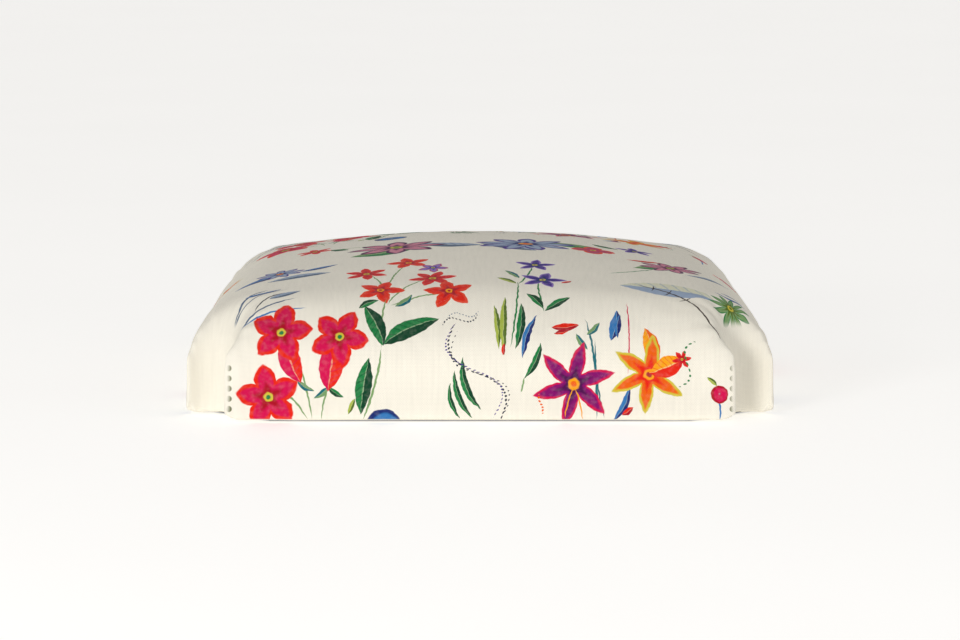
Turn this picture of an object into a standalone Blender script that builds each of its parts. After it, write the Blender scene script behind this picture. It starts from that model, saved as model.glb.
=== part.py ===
"""An upholstered chair seat pad: a doweled and screwed wood frame, woven webbing,
a foam cushion, wadding and a fitted cover, notched at its corners for the chair's legs.

Metres, +Z up, +Y to the back of the chair. The origin is under the middle of the pad.
"""

import math

import bmesh
import bpy
from mathutils import Matrix, Vector

# ---- Driving dimensions -------------------------------------------------------------

GAP = 0.0003              # between pieces that touch
LAYER_GAP = 0.0005        # between the soft layers, and between them and the rails

SEAT_WIDTH_FRONT = 0.420
SEAT_WIDTH_REAR = 0.404
SEAT_DEPTH = 0.432
CORNER_RADIUS = 0.022

SHOULDER_HEIGHT = 0.040   # the straight sides end here and the roll begins
ROLL_DEPTH = 0.052        # how far the roll at the edge reaches in
ROLL_HEIGHT = 0.036
CROWN = 0.029             # rise of the middle over the edge

LEG_RADIUS = 0.0176
LEG_SIDE_SETBACK = 0.0175 # of a front leg's axis from the side of the pad
LEG_SETBACK = 0.019       # of its axis from the front of the pad
POST_RADIUS = 0.018
POST_SIDE_SETBACK = 0.018 # of a rear post's axis from the side of the pad
POST_SETBACK = 0.018      # of its axis from the back of the pad
LEG_CLEARANCE = 0.0015
CORNER_OPENING = 0.0056   # the notch's lips end this far outside the leg's axis

LEG_FLARE_START = 0.048   # the front notches open out from here, near the legs' tops
LEG_FLARE_DEPTH = 0.026
LEG_FLARE_HEIGHT = 0.034
POST_FLARE_START = 0.060
POST_FLARE_DEPTH = 0.012
POST_FLARE_HEIGHT = 0.022

COVER_THICKNESS = 0.0012
WADDING_THICKNESS = 0.005
HESSIAN_THICKNESS = 0.0006
DUST_COVER_THICKNESS = 0.0006
COVER_MARGIN = 0.024      # of the cover that is turned under the rails
DUST_COVER_INSET = 0.009
HESSIAN_INSET = 0.012
MARGIN_AT_LEG = 0.010     # of the cover left round a leg underneath
DUST_COVER_FROM_LEG = 0.005

RAIL_THICKNESS = 0.024
RAIL_HEIGHT = 0.040
RAIL_ROUNDING = 0.0015

BLOCK_START = 0.008       # along each rail from its end
BLOCK_REACH = 0.052
BLOCK_HEIGHT = 0.036
BLOCK_ROUNDING = 0.001
BOLT_HOLE_RADIUS = 0.00425

DOWEL_RADIUS = 0.004
DOWEL_LENGTH = 0.022
DOWEL_ALONG = 0.021       # of a dowel from the end of its rail
DOWEL_CHAMFER = 0.001

SCREW_ALONG = 0.035
SCREW_SPREAD = 0.022      # between the two screws of a pair
SCREW_LENGTH = 0.030
SCREW_RADIUS = 0.002
SCREW_HEAD_RADIUS = 0.004
SCREW_HEAD_HEIGHT = 0.0024
SCREW_HEAD_RIM = 0.0004
SCREW_POINT = 0.005
SCREW_SINK = 0.014        # of the head from the rail's face

WEB_WIDTH = 0.055
WEB_THICKNESS = 0.0012
WEB_PITCH = 0.100
WEBS_EACH_WAY = 3
WEB_SETBACK = 0.004       # of a strap's end from the rail's outer face
WEB_CROSSING_GAP = 0.0006

STAPLE_WIDTH = 0.012
STAPLE_LEG = 0.009
STAPLE_WIRE_RADIUS = 0.0006

ARC_STEPS = 5             # facets in each rounded corner of the outline
SIDE_STEPS = 5            # facets along each side of it
ROLL_STEPS = 5
CROWN_STEPS = 4
ROUND_STEPS = 10          # facets round a dowel or a screw
NOTCH_STEPS = 24
FLARE_STEPS = 4
FLARE_SWEEP = math.radians(75)

# ---- Values that follow ---------------------------------------------------------------

LEG_SPACING = SEAT_WIDTH_FRONT - 2 * LEG_SIDE_SETBACK
POST_SPACING = SEAT_WIDTH_REAR - 2 * POST_SIDE_SETBACK
TAPER = math.atan((SEAT_WIDTH_FRONT - SEAT_WIDTH_REAR) / 2 / SEAT_DEPTH)
DUST_COVER_TOP = DUST_COVER_THICKNESS
COVER_BOTTOM = DUST_COVER_TOP + GAP
COVER_INSIDE = COVER_BOTTOM + COVER_THICKNESS
RAIL_BOTTOM = COVER_INSIDE + GAP
RAIL_TOP = RAIL_BOTTOM + RAIL_HEIGHT
WEB_LOW = RAIL_TOP + GAP + WEB_THICKNESS / 2
WEB_HIGH = WEB_LOW + WEB_THICKNESS + WEB_CROSSING_GAP
HESSIAN_BOTTOM = WEB_HIGH + WEB_THICKNESS / 2 + GAP
FOAM_BOTTOM = HESSIAN_BOTTOM + HESSIAN_THICKNESS + GAP
WADDING_INSET = COVER_THICKNESS + LAYER_GAP
FILLING_INSET = WADDING_INSET + WADDING_THICKNESS + LAYER_GAP
RAIL_INSET = FILLING_INSET + LAYER_GAP
BLOCK_MIDDLE = RAIL_BOTTOM + RAIL_HEIGHT / 2
PAD_HEIGHT = SHOULDER_HEIGHT + ROLL_HEIGHT + CROWN
FRONT, REAR = -1, 1
LEFT, RIGHT = -1, 1
NOTCH_MARGIN = 0.02       # a cutter's length past what it cuts


def half_width(y):
    """Half of the pad's width at y."""
    share = (y + SEAT_DEPTH / 2) / SEAT_DEPTH
    return (SEAT_WIDTH_FRONT * (1 - share) + SEAT_WIDTH_REAR * share) / 2


def notch_axis(side, end):
    """Where the axis of the leg or post stands that one corner is notched for."""
    if end == FRONT:
        return Vector((side * LEG_SPACING / 2, LEG_SETBACK - SEAT_DEPTH / 2))
    return Vector((side * POST_SPACING / 2, SEAT_DEPTH / 2 - POST_SETBACK))


def notch_radius(end, extra=0.0):
    """Radius of a notch, with extra for the layers between it and the leg."""
    leg = LEG_RADIUS if end == FRONT else POST_RADIUS
    return leg + LEG_CLEARANCE + extra


CORNERS = [(side, end) for end in (FRONT, REAR) for side in (LEFT, RIGHT)]
CORNER_NAMES = {
    (LEFT, FRONT): "front_left",
    (RIGHT, FRONT): "front_right",
    (LEFT, REAR): "rear_left",
    (RIGHT, REAR): "rear_right",
}

# ---- Scene and helpers -------------------------------------------------------------


def clear_scene():
    for obj in list(bpy.data.objects):
        bpy.data.objects.remove(obj, do_unlink=True)


def new_collection(name):
    made = bpy.data.collections.new(name)
    bpy.context.scene.collection.children.link(made)
    return made


def new_material(name, color, roughness, metallic=0.0):
    made = bpy.data.materials.new(name)
    made.use_nodes = True
    shader = made.node_tree.nodes["Principled BSDF"]
    shader.inputs["Base Color"].default_value = (*color, 1.0)
    shader.inputs["Roughness"].default_value = roughness
    shader.inputs["Metallic"].default_value = metallic
    return made


clear_scene()
PARTS = new_collection("chair_seat_pad")
CUTTERS = new_collection("cutters")
MATERIALS = {
    "cover": new_material("printed_linen", (0.85, 0.82, 0.72), 0.85),
    "foam": new_material("foam", (0.90, 0.84, 0.62), 0.90),
    "wadding": new_material("wadding", (0.93, 0.93, 0.92), 0.95),
    "wood": new_material("beech", (0.62, 0.44, 0.27), 0.55),
    "webbing": new_material("jute_webbing", (0.55, 0.43, 0.27), 0.90),
    "hessian": new_material("hessian", (0.50, 0.39, 0.24), 0.95),
    "dust_cover": new_material("black_cambric", (0.05, 0.05, 0.055), 0.90),
    "steel": new_material("zinc_plated_steel", (0.70, 0.70, 0.68), 0.35, 1.0),
}


def put(name, mesh, material=None, collection=None):
    """A new object of a mesh, among the parts or among the cutters."""
    obj = bpy.data.objects.new(name, mesh)
    (collection or PARTS).objects.link(obj)
    if material:
        mesh.materials.clear()
        mesh.materials.append(MATERIALS[material])
    if collection is CUTTERS:
        obj.hide_render = True
        obj.display_type = "WIRE"
    return obj


def mesh_of(name, shape):
    """A mesh datablock of a bmesh, which is freed."""
    bmesh.ops.recalc_face_normals(shape, faces=shape.faces)
    made = bpy.data.meshes.new(name)
    shape.to_mesh(made)
    shape.free()
    return made


def cylinder(name, radius, start, end, steps=ROUND_STEPS, collection=None, material=None):
    """A round bar from one point to another."""
    start, end = Vector(start), Vector(end)
    shape = bmesh.new()
    bmesh.ops.create_cone(shape, cap_ends=True, segments=steps, radius1=radius,
                          radius2=radius, depth=(end - start).length)
    turn = (end - start).to_track_quat("Z", "Y").to_matrix().to_4x4()
    bmesh.ops.transform(shape, matrix=Matrix.Translation((start + end) / 2) @ turn,
                        verts=shape.verts)
    return put(name, mesh_of(name, shape), material, collection)


def turned(name, profile, material=None, collection=None, steps=ROUND_STEPS):
    """A closed body turned about Z from a profile that starts and ends on the axis."""
    shape = bmesh.new()
    verts = [shape.verts.new((x, 0.0, z)) for x, z in profile]
    edges = [shape.edges.new(pair) for pair in zip(verts, verts[1:])]
    bmesh.ops.spin(shape, geom=verts + edges, cent=(0, 0, 0), axis=(0, 0, 1),
                   angle=2 * math.pi, steps=steps, use_merge=True, use_duplicate=False)
    bmesh.ops.remove_doubles(shape, verts=shape.verts, dist=1e-6)
    return put(name, mesh_of(name, shape), material, collection)


def slab(name, corners, bottom, top, material=None, collection=None):
    """A flat plate of an outline, as a filled 2D curve made into a welded mesh."""
    curve = bpy.data.curves.new(name, "CURVE")
    curve.dimensions = "2D"
    curve.fill_mode = "BOTH"
    curve.extrude = (top - bottom) / 2
    spline = curve.splines.new("POLY")
    spline.points.add(len(corners) - 1)
    for point, corner in zip(spline.points, corners):
        point.co = (corner[0], corner[1], 0.0, 1.0)
    spline.use_cyclic_u = True
    guide = bpy.data.objects.new(name + "_outline", curve)
    guide.location.z = (top + bottom) / 2
    bpy.context.scene.collection.objects.link(guide)
    bpy.context.view_layer.update()
    evaluated = guide.evaluated_get(bpy.context.evaluated_depsgraph_get())
    shape = bmesh.new()
    shape.from_mesh(bpy.data.meshes.new_from_object(evaluated))
    shape.transform(guide.matrix_world)
    bmesh.ops.remove_doubles(shape, verts=shape.verts, dist=1e-6)
    bpy.data.objects.remove(guide, do_unlink=True)
    return put(name, mesh_of(name, shape), material, collection)


def cut(obj, cutter, solver="EXACT"):
    """A Boolean difference that stays on the object."""
    modifier = obj.modifiers.new("cut_" + cutter.name, "BOOLEAN")
    modifier.operation = "DIFFERENCE"
    modifier.solver = solver
    modifier.object = cutter


def round_edges(obj, width):
    modifier = obj.modifiers.new("rounded_edges", "BEVEL")
    modifier.width = width
    modifier.segments = 2
    modifier.limit_method = "ANGLE"


# ---- The outline and the domed body --------------------------------------------------


def corner_centre(side, end):
    """Centre of the rounding of one corner of the outline."""
    y = end * (SEAT_DEPTH / 2 - CORNER_RADIUS)
    return Vector((side * (half_width(y) - CORNER_RADIUS / math.cos(TAPER)), y))


def outline(inset):
    """The pad's outline from above, moved in by inset, anticlockwise from the front right."""
    arcs = [
        (RIGHT, FRONT, -math.pi / 2, TAPER),
        (RIGHT, REAR, TAPER, math.pi / 2),
        (LEFT, REAR, math.pi / 2, math.pi - TAPER),
        (LEFT, FRONT, math.pi - TAPER, 3 * math.pi / 2),
    ]
    rounded = []
    for side, end, first, last in arcs:
        centre = corner_centre(side, end)
        for step in range(ARC_STEPS + 1):
            angle = first + (last - first) * step / ARC_STEPS
            way = Vector((math.cos(angle), math.sin(angle)))
            rounded.append(centre + (CORNER_RADIUS - inset) * way)
    points = []
    for index, point in enumerate(rounded):
        points.append(point)
        if (index + 1) % (ARC_STEPS + 1) == 0:
            following = rounded[(index + 1) % len(rounded)]
            for step in range(1, SIDE_STEPS):
                points.append(point.lerp(following, step / SIDE_STEPS))
    return points


def roll_share(distance, depth):
    """How far up the roll the surface is, from 0 at the edge to 1 where the roll ends."""
    left = max(0.0, 1 - max(0.0, distance) / depth)
    return math.sqrt(1 - left * left)


def top_height(x, y, inset):
    """Height of the domed top at a place, for a body moved in by inset."""
    half_x = half_width(y) - inset / math.cos(TAPER)
    half_y = SEAT_DEPTH / 2 - inset
    depth = ROLL_DEPTH - inset
    roll = roll_share(half_x - abs(x), depth) * roll_share(half_y - abs(y), depth)
    crown = max(0.0, 1 - (x / half_x) ** 2) * max(0.0, 1 - (y / half_y) ** 2)
    return SHOULDER_HEIGHT + (ROLL_HEIGHT - inset) * roll + CROWN * crown


def levels_in(inset):
    """How far in each ring of the top lies, as (distance from the outline, share of the rest).

    The rings crowd together at the outer edge, where the roll turns most.
    """
    depth = ROLL_DEPTH - inset
    found = []
    for step in range(ROLL_STEPS + 1):
        angle = math.pi / 2 * step / ROLL_STEPS
        found.append((depth * (1 - math.cos(angle)), 1.0))
    for step in range(1, CROWN_STEPS):
        found.append((depth, 1 - step / CROWN_STEPS))
    return found


def pad_body(name, inset, bottom, material=None, collection=None):
    """The pad's own shape moved in by inset, with a flat floor at bottom.

    It is a ball: its meridians follow the outline, and its parallels run from the middle
    of the floor, out along it, up the sides, over the roll and in to the crown.
    """
    around, levels = outline(inset), levels_in(inset)
    bands = len(levels) + 3
    shape = bmesh.new()
    bmesh.ops.create_uvsphere(shape, u_segments=len(around), v_segments=bands, radius=1.0)
    for vert in shape.verts:
        level = round(math.acos(max(-1.0, min(1.0, -vert.co.z))) / math.pi * bands)
        turn = math.atan2(vert.co.y, vert.co.x) % (2 * math.pi)
        edge = around[round(turn / (2 * math.pi) * len(around)) % len(around)]
        if level < 3:
            place = edge * level / 2
            vert.co = (place.x, place.y, bottom)
        elif level == bands:
            vert.co = (0.0, 0.0, top_height(0.0, 0.0, inset))
        else:
            distance, share = levels[level - 3]
            place = edge * (1 - distance / edge.length) * share
            vert.co = (place.x, place.y, top_height(place.x, place.y, inset))
    return put(name, mesh_of(name, shape), material, collection)


def flare_profile(end, extra):
    """Half of a notch's outline: straight beside the leg, then opening out over its top.

    extra moves it into the pad, by the layers between it and the leg.
    """
    start, depth, height = {
        FRONT: (LEG_FLARE_START, LEG_FLARE_DEPTH, LEG_FLARE_HEIGHT),
        REAR: (POST_FLARE_START, POST_FLARE_DEPTH, POST_FLARE_HEIGHT),
    }[end]
    across, up = depth - extra, height - extra
    points = [(0.0, -NOTCH_MARGIN), (notch_radius(end, extra), -NOTCH_MARGIN)]
    for step in range(FLARE_STEPS + 1):
        angle = FLARE_SWEEP * step / FLARE_STEPS
        points.append((notch_radius(end) + depth - across * math.cos(angle),
                       start + up * math.sin(angle)))
    slope = up * math.cos(FLARE_SWEEP) / (across * math.sin(FLARE_SWEEP))
    last = points[-1]
    points.append((last[0] + CROWN, last[1] + CROWN * slope))
    points.append((last[0] + CROWN, PAD_HEIGHT + NOTCH_MARGIN))
    points.append((0.0, PAD_HEIGHT + NOTCH_MARGIN))
    return points


def notch_cutter(name, corner, extra):
    """A cutter round one leg, and over its top."""
    leg = turned(f"{name}_{CORNER_NAMES[corner]}", flare_profile(corner[1], extra),
                 None, CUTTERS, NOTCH_STEPS)
    leg.location = (*notch_axis(*corner), 0.0)
    return leg


def lip_cutter(name, corner, extra):
    """A cutter for all that lies outside one leg, which leaves blunt lips round it."""
    axis, out = notch_axis(*corner), Vector(corner).normalized()
    across = Vector((-out.y, out.x)) * SEAT_WIDTH_REAR / 4
    near = axis + out * (CORNER_OPENING - extra)
    far = near + out * SEAT_WIDTH_REAR / 4
    outside = [near - across, near + across, far + across, far - across]
    return slab(f"{name}_lips_{CORNER_NAMES[corner]}", outside, -2 * NOTCH_MARGIN,
                PAD_HEIGHT + 2 * NOTCH_MARGIN, None, CUTTERS)


def notch(obj, extra, lips=True, solver="EXACT"):
    """Cut all four notches in a body, with extra for the layers between it and the legs."""
    for corner in CORNERS:
        if lips:
            cut(obj, lip_cutter(obj.name, corner, extra), solver)
        cut(obj, notch_cutter(obj.name + "_notch", corner, extra), solver)


def clear_of_legs(inset, from_leg):
    """An outline with straight sides, inset from the edge, and its corners cut off.

    Each cut passes from_leg outside the notch, square to the way towards the middle.
    """
    corners = []
    order = [(RIGHT, FRONT), (RIGHT, REAR), (LEFT, REAR), (LEFT, FRONT)]
    for side, end in order:
        axis = notch_axis(side, end)
        reach = (notch_radius(end) + from_leg) * math.sqrt(2)
        y_edge = end * (SEAT_DEPTH / 2 - inset)
        # On the cut, side * x + end * y has one value.
        value = side * axis.x + end * axis.y - reach
        on_end = Vector((side * (value - end * y_edge), y_edge))
        slope = math.tan(TAPER)
        middle = SEAT_WIDTH_FRONT / 2 - slope * SEAT_DEPTH / 2 - inset / math.cos(TAPER)
        # Side face: |x| = middle - slope * y, and on it |x| + end * y = value.
        y_side = (value - middle) / (end - slope)
        on_side = Vector((side * (middle - slope * y_side), y_side))
        pair = [on_end, on_side]
        corners += pair if side * end < 0 else pair[::-1]
    return corners


# ---- The wood frame --------------------------------------------------------------------


def side_face(y, inset):
    """x of the pad's right side at y, moved in by inset."""
    return half_width(y) - inset / math.cos(TAPER)


def end_rail_half_length(end):
    """A front or rear rail stops just short of the cover in the notches."""
    axis = notch_axis(RIGHT, end)
    return axis.x - notch_radius(end, COVER_THICKNESS + GAP)


def side_rail_end(end):
    axis = notch_axis(RIGHT, end)
    return axis.y - end * notch_radius(end, COVER_THICKNESS + GAP)


def rails():
    """The four rails, by name."""
    made = {}
    for end, name in ((FRONT, "front_rail"), (REAR, "rear_rail")):
        length = end_rail_half_length(end)
        outer = end * (SEAT_DEPTH / 2 - RAIL_INSET)
        inner = outer - end * RAIL_THICKNESS
        corners = [(-length, outer), (length, outer), (length, inner), (-length, inner)]
        made[end] = slab(name, corners, RAIL_BOTTOM, RAIL_TOP, "wood")
    front, rear = side_rail_end(FRONT), side_rail_end(REAR)
    for side, name in ((LEFT, "left_side_rail"), (RIGHT, "right_side_rail")):
        inner_inset = RAIL_INSET + RAIL_THICKNESS
        corners = [(side * side_face(front, RAIL_INSET), front),
                   (side * side_face(rear, RAIL_INSET), rear),
                   (side * side_face(rear, inner_inset), rear),
                   (side * side_face(front, inner_inset), front)]
        made[name] = slab(name, corners, RAIL_BOTTOM, RAIL_TOP, "wood")
    for rail in made.values():
        round_edges(rail, RAIL_ROUNDING)
    return {"end": {FRONT: made[FRONT], REAR: made[REAR]},
            "side": {LEFT: made["left_side_rail"], RIGHT: made["right_side_rail"]}}


def contacts(side, end):
    """The two rail faces that a corner block is fixed to.

    Each is (which rail, the rail's end on its inner face, the way along it, the way into
    the pad), in plan.
    """
    inner = RAIL_INSET + RAIL_THICKNESS
    end_start = Vector((side * end_rail_half_length(end), end * (SEAT_DEPTH / 2 - inner)))
    y = side_rail_end(end)
    side_start = Vector((side * side_face(y, inner), y))
    slope = math.tan(TAPER)
    along_side = Vector((side * end * slope, -end)).normalized()
    into_from_side = Vector((-side, -slope)).normalized()
    return [("end", end_start, Vector((-side, 0)), Vector((0, -end))),
            ("side", side_start, along_side, into_from_side)]


def corner_block(side, end):
    """A block across one corner, glued to both rails, with a hole for the leg's bolt."""
    (_, on_end, along_end, into_end), (_, on_side, along_side, into_side) = contacts(side, end)
    on_end += into_end * GAP
    on_side += into_side * GAP
    corners = [on_end + along_end * BLOCK_START, on_end + along_end * BLOCK_REACH,
               on_side + along_side * BLOCK_REACH, on_side + along_side * BLOCK_START]
    block = slab(f"corner_block_{CORNER_NAMES[side, end]}", corners,
                 BLOCK_MIDDLE - BLOCK_HEIGHT / 2, BLOCK_MIDDLE + BLOCK_HEIGHT / 2, "wood")
    round_edges(block, BLOCK_ROUNDING)
    axis = notch_axis(side, end)
    inwards = Vector((-side, -end)).normalized() * (BLOCK_REACH * 2)
    cut(block, cylinder(f"bolt_hole_{CORNER_NAMES[side, end]}", BOLT_HOLE_RADIUS,
                        (*axis, BLOCK_MIDDLE), (*(axis + inwards), BLOCK_MIDDLE),
                        ROUND_STEPS, CUTTERS))
    return block


def dowel(name, foot, into, block, rail):
    """A glued dowel half in the rail and half in the block, each with a hole for it."""
    half = into * DOWEL_LENGTH / 2
    start, stop = foot - half, foot + half
    pin = cylinder(name, DOWEL_RADIUS, start, stop, material="wood")
    round_edges(pin, DOWEL_CHAMFER)
    hole = cylinder("hole_" + name, DOWEL_RADIUS + GAP, start - into * GAP,
                    stop + into * GAP, collection=CUTTERS)
    cut(block, hole)
    cut(rail, hole)


def screw_profile(extra, head):
    """Half of a countersunk screw's outline, from the top of its head down to its point."""
    return [(0.0, head), (SCREW_HEAD_RADIUS + extra, head),
            (SCREW_HEAD_RADIUS + extra, 0.0),
            (SCREW_RADIUS + extra, -SCREW_HEAD_HEIGHT),
            (SCREW_RADIUS + extra, SCREW_POINT - SCREW_LENGTH),
            (0.0, -SCREW_LENGTH - extra)]


def screw(name, foot, into, block, rail):
    """A wood screw through the block into the rail, its head sunk in the block."""
    head = foot + into * SCREW_SINK
    turn = into.to_track_quat("Z", "Y").to_matrix().to_4x4()
    place = Matrix.Translation(head) @ turn
    body = turned(name, screw_profile(0.0, SCREW_HEAD_RIM), "steel")
    body.matrix_world = place
    hole = turned("hole_" + name, screw_profile(GAP, BLOCK_REACH), None, CUTTERS)
    hole.matrix_world = place
    cut(block, hole)
    cut(rail, hole)


def frame():
    """The whole wood frame with its dowels and screws. Returns the rails."""
    made = rails()
    for side, end in CORNERS:
        block = corner_block(side, end)
        corner = CORNER_NAMES[side, end]
        for kind, start, along, into in contacts(side, end):
            rail = made[kind][end if kind == "end" else side]
            way = Vector((*into, 0.0))
            foot = start + along * DOWEL_ALONG
            dowel(f"dowel_{corner}_{kind}", Vector((*foot, BLOCK_MIDDLE)), way, block, rail)
            foot = start + along * SCREW_ALONG
            for level, lift in (("low", -SCREW_SPREAD / 2), ("high", SCREW_SPREAD / 2)):
                screw(f"screw_{corner}_{kind}_{level}",
                      Vector((*foot, BLOCK_MIDDLE + lift)), way, block, rail)
    return made


# ---- Webbing -------------------------------------------------------------------------


def smooth_step(share):
    share = max(0.0, min(1.0, share))
    return share * share * (3 - 2 * share)


def web_height(along, over):
    """Height of a strap's middle at a place along it. over says which crossings it is over."""
    height = WEB_LOW
    for index, is_over in enumerate(over):
        crossing = (index - (WEBS_EACH_WAY - 1) / 2) * WEB_PITCH
        away = abs(along - crossing) - WEB_WIDTH / 2
        if is_over:
            slack = WEB_PITCH - WEB_WIDTH
            share = smooth_step(1 - away / slack)
            height = max(height, WEB_LOW + (WEB_HIGH - WEB_LOW) * share)
    return height


def strap(name, offset, first, last, lengthwise, over):
    """One strap of webbing, woven over and under those that cross it."""
    steps = math.ceil((last - first) / (WEB_PITCH / 8))
    shape = bmesh.new()
    bmesh.ops.create_grid(shape, x_segments=1, y_segments=steps, size=0.5)
    for vert in shape.verts:
        across = offset + vert.co.x * WEB_WIDTH
        along = first + (vert.co.y + 0.5) * (last - first)
        height = web_height(along, over)
        vert.co = (across, along, height) if lengthwise else (along, across, height)
    obj = put(name, mesh_of(name, shape), "webbing")
    thick = obj.modifiers.new("thickness", "SOLIDIFY")
    thick.thickness = WEB_THICKNESS
    thick.offset = 0.0
    return obj


def staple(name, middle, across, strap_obj, rail):
    """A wide wire staple over a strap's end, its legs in the rail."""
    top = WEB_LOW + WEB_THICKNESS / 2 + GAP + STAPLE_WIRE_RADIUS
    half = across * STAPLE_WIDTH / 2
    bend = across * STAPLE_WIRE_RADIUS
    centre = Vector((*middle, top))
    down = Vector((0, 0, -1))
    route = [centre - half + down * STAPLE_LEG, centre - half + down * STAPLE_WIRE_RADIUS,
             centre - half + bend, centre + half - bend,
             centre + half + down * STAPLE_WIRE_RADIUS, centre + half + down * STAPLE_LEG]
    curve = bpy.data.curves.new(name, "CURVE")
    curve.dimensions = "3D"
    curve.bevel_depth = STAPLE_WIRE_RADIUS
    curve.bevel_resolution = 1
    curve.use_fill_caps = True
    spline = curve.splines.new("POLY")
    spline.points.add(len(route) - 1)
    for point, place in zip(spline.points, route):
        point.co = (*place, 1.0)
    curve.materials.append(MATERIALS["steel"])
    PARTS.objects.link(bpy.data.objects.new(name, curve))
    hole_radius = (STAPLE_WIRE_RADIUS + GAP) * math.sqrt(2)
    for tag, leg in (("a", centre - half), ("b", centre + half)):
        hole = cylinder(f"hole_{name}_{tag}", hole_radius, leg - down * STAPLE_LEG,
                        leg + down * (STAPLE_LEG + GAP), 4, CUTTERS)
        cut(strap_obj, hole)
        cut(rail, hole)


def webbing(frame_rails):
    """Straps both ways, each stapled at its ends to the top of a rail."""
    y_front = RAIL_INSET + WEB_SETBACK - SEAT_DEPTH / 2
    y_rear = -y_front
    middle_of_rail = SEAT_DEPTH / 2 - RAIL_INSET - RAIL_THICKNESS / 2
    for index in range(WEBS_EACH_WAY):
        offset = (index - (WEBS_EACH_WAY - 1) / 2) * WEB_PITCH
        over = [(index + other) % 2 == 0 for other in range(WEBS_EACH_WAY)]
        name = f"web_lengthwise_{index + 1}"
        piece = strap(name, offset, y_front, y_rear, True, over)
        for end, where in ((FRONT, "front"), (REAR, "rear")):
            staple(f"staple_{name}_{where}", Vector((offset, end * middle_of_rail)),
                   Vector((1, 0, 0)), piece, frame_rails["end"][end])
        reach = side_face(offset + WEB_WIDTH / 2, RAIL_INSET) - WEB_SETBACK
        name = f"web_crosswise_{index + 1}"
        piece = strap(name, offset, -reach, reach, False, [not state for state in over])
        middle = side_face(offset, RAIL_INSET + RAIL_THICKNESS / 2)
        for side, where in ((LEFT, "left"), (RIGHT, "right")):
            staple(f"staple_{name}_{where}", Vector((side * middle, offset)),
                   Vector((0, 1, 0)), piece, frame_rails["side"][side])


# ---- Soft layers -----------------------------------------------------------------------


def hessian():
    slab("hessian", clear_of_legs(HESSIAN_INSET, COVER_THICKNESS + 2 * GAP),
         HESSIAN_BOTTOM, HESSIAN_BOTTOM + HESSIAN_THICKNESS, "hessian")


def foam():
    """The cushion: all of the dome over the hessian, notched for the legs.

    Its corners end inside the notches, where the exact solver loses it at some sizes.
    """
    body = pad_body("foam_cushion", FILLING_INSET, RAIL_BOTTOM, "foam")
    x, y = SEAT_WIDTH_FRONT, SEAT_DEPTH
    cut(body, slab("under_the_foam", [(-x, -y), (x, -y), (x, y), (-x, y)],
                   -NOTCH_MARGIN, FOAM_BOTTOM, None, CUTTERS), "MANIFOLD")
    notch(body, WADDING_INSET, lips=False, solver="MANIFOLD")


def wadding():
    """A soft layer over the foam and down the rails, trimmed at the legs."""
    body = pad_body("wadding", WADDING_INSET, RAIL_BOTTOM, "wadding")
    cut(body, pad_body("inside_the_wadding", WADDING_INSET + WADDING_THICKNESS,
                       RAIL_BOTTOM - NOTCH_MARGIN, None, CUTTERS))
    notch(body, WADDING_INSET)


def cover():
    """The fitted cover: one thickness of cloth over all of it, turned in at the notches
    and turned under the rails."""
    body = pad_body("cover", 0.0, COVER_BOTTOM, "cover")
    notch(body, 0.0)
    inside = pad_body("inside_the_cover", COVER_THICKNESS, COVER_INSIDE, None, CUTTERS)
    notch(inside, COVER_THICKNESS)
    cut(body, inside)
    cut(body, slab("cover_window", clear_of_legs(COVER_MARGIN, MARGIN_AT_LEG),
                   -NOTCH_MARGIN, COVER_INSIDE + GAP, None, CUTTERS))


def dust_cover():
    slab("dust_cover", clear_of_legs(DUST_COVER_INSET, DUST_COVER_FROM_LEG),
         0.0, DUST_COVER_TOP, "dust_cover")


def main():
    frame_rails = frame()
    webbing(frame_rails)
    hessian()
    foam()
    wadding()
    cover()
    dust_cover()
    bpy.context.view_layer.update()


main()
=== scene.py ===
# %% [markdown]
# # A printed chair seat pad
#
# The pad is a wood frame with webbing, foam and wadding under one taut printed cloth. The
# cloth is notched at its four corners, where the chair's legs and rear posts pass. The hidden
# frame keeps its modelled shape and gets real finishes. The cloth, its underside and its
# staples are made here, round that frame.

# %% Load the frame
import math

import bmesh
import bpy
import numpy as np
from mathutils import Matrix, Vector, noise


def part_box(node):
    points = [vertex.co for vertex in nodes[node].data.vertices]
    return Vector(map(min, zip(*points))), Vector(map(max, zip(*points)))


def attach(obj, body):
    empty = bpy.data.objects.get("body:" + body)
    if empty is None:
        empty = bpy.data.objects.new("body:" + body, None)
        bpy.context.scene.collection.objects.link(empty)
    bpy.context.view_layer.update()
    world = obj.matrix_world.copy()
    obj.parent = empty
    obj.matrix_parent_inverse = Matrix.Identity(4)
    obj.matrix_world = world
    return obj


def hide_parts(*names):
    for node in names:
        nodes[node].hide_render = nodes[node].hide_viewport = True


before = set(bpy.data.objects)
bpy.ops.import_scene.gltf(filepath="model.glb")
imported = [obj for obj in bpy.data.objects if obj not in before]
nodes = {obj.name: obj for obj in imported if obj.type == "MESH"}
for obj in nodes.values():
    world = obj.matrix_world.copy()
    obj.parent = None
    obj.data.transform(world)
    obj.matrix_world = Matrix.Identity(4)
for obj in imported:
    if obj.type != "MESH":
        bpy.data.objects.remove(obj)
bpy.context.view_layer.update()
print("pieces in the frame:", len(nodes))

# %% [markdown]
# ## Sizes
#
# The overall sizes follow the solid of the cover, so the cloth lies where the pad's model has
# it. The rest are an upholsterer's sizes: how far the rounded edge reaches in, how much the
# middle is crowned, and how wide the notches are.

# %% Sizes of the pad
cover_low, cover_high = [Vector(corner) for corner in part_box("cover")]
WIDTH_FRONT = 0.420
WIDTH_REAR = 0.404
DEPTH = cover_high.y - cover_low.y
BOTTOM = cover_low.z
SHOULDER = 0.040
ROLL_DEPTH = 0.052
ROLL_HEIGHT = 0.036
CROWN = cover_high.z - SHOULDER - ROLL_HEIGHT
TAPER = (WIDTH_FRONT - WIDTH_REAR) / 2 / DEPTH

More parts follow.
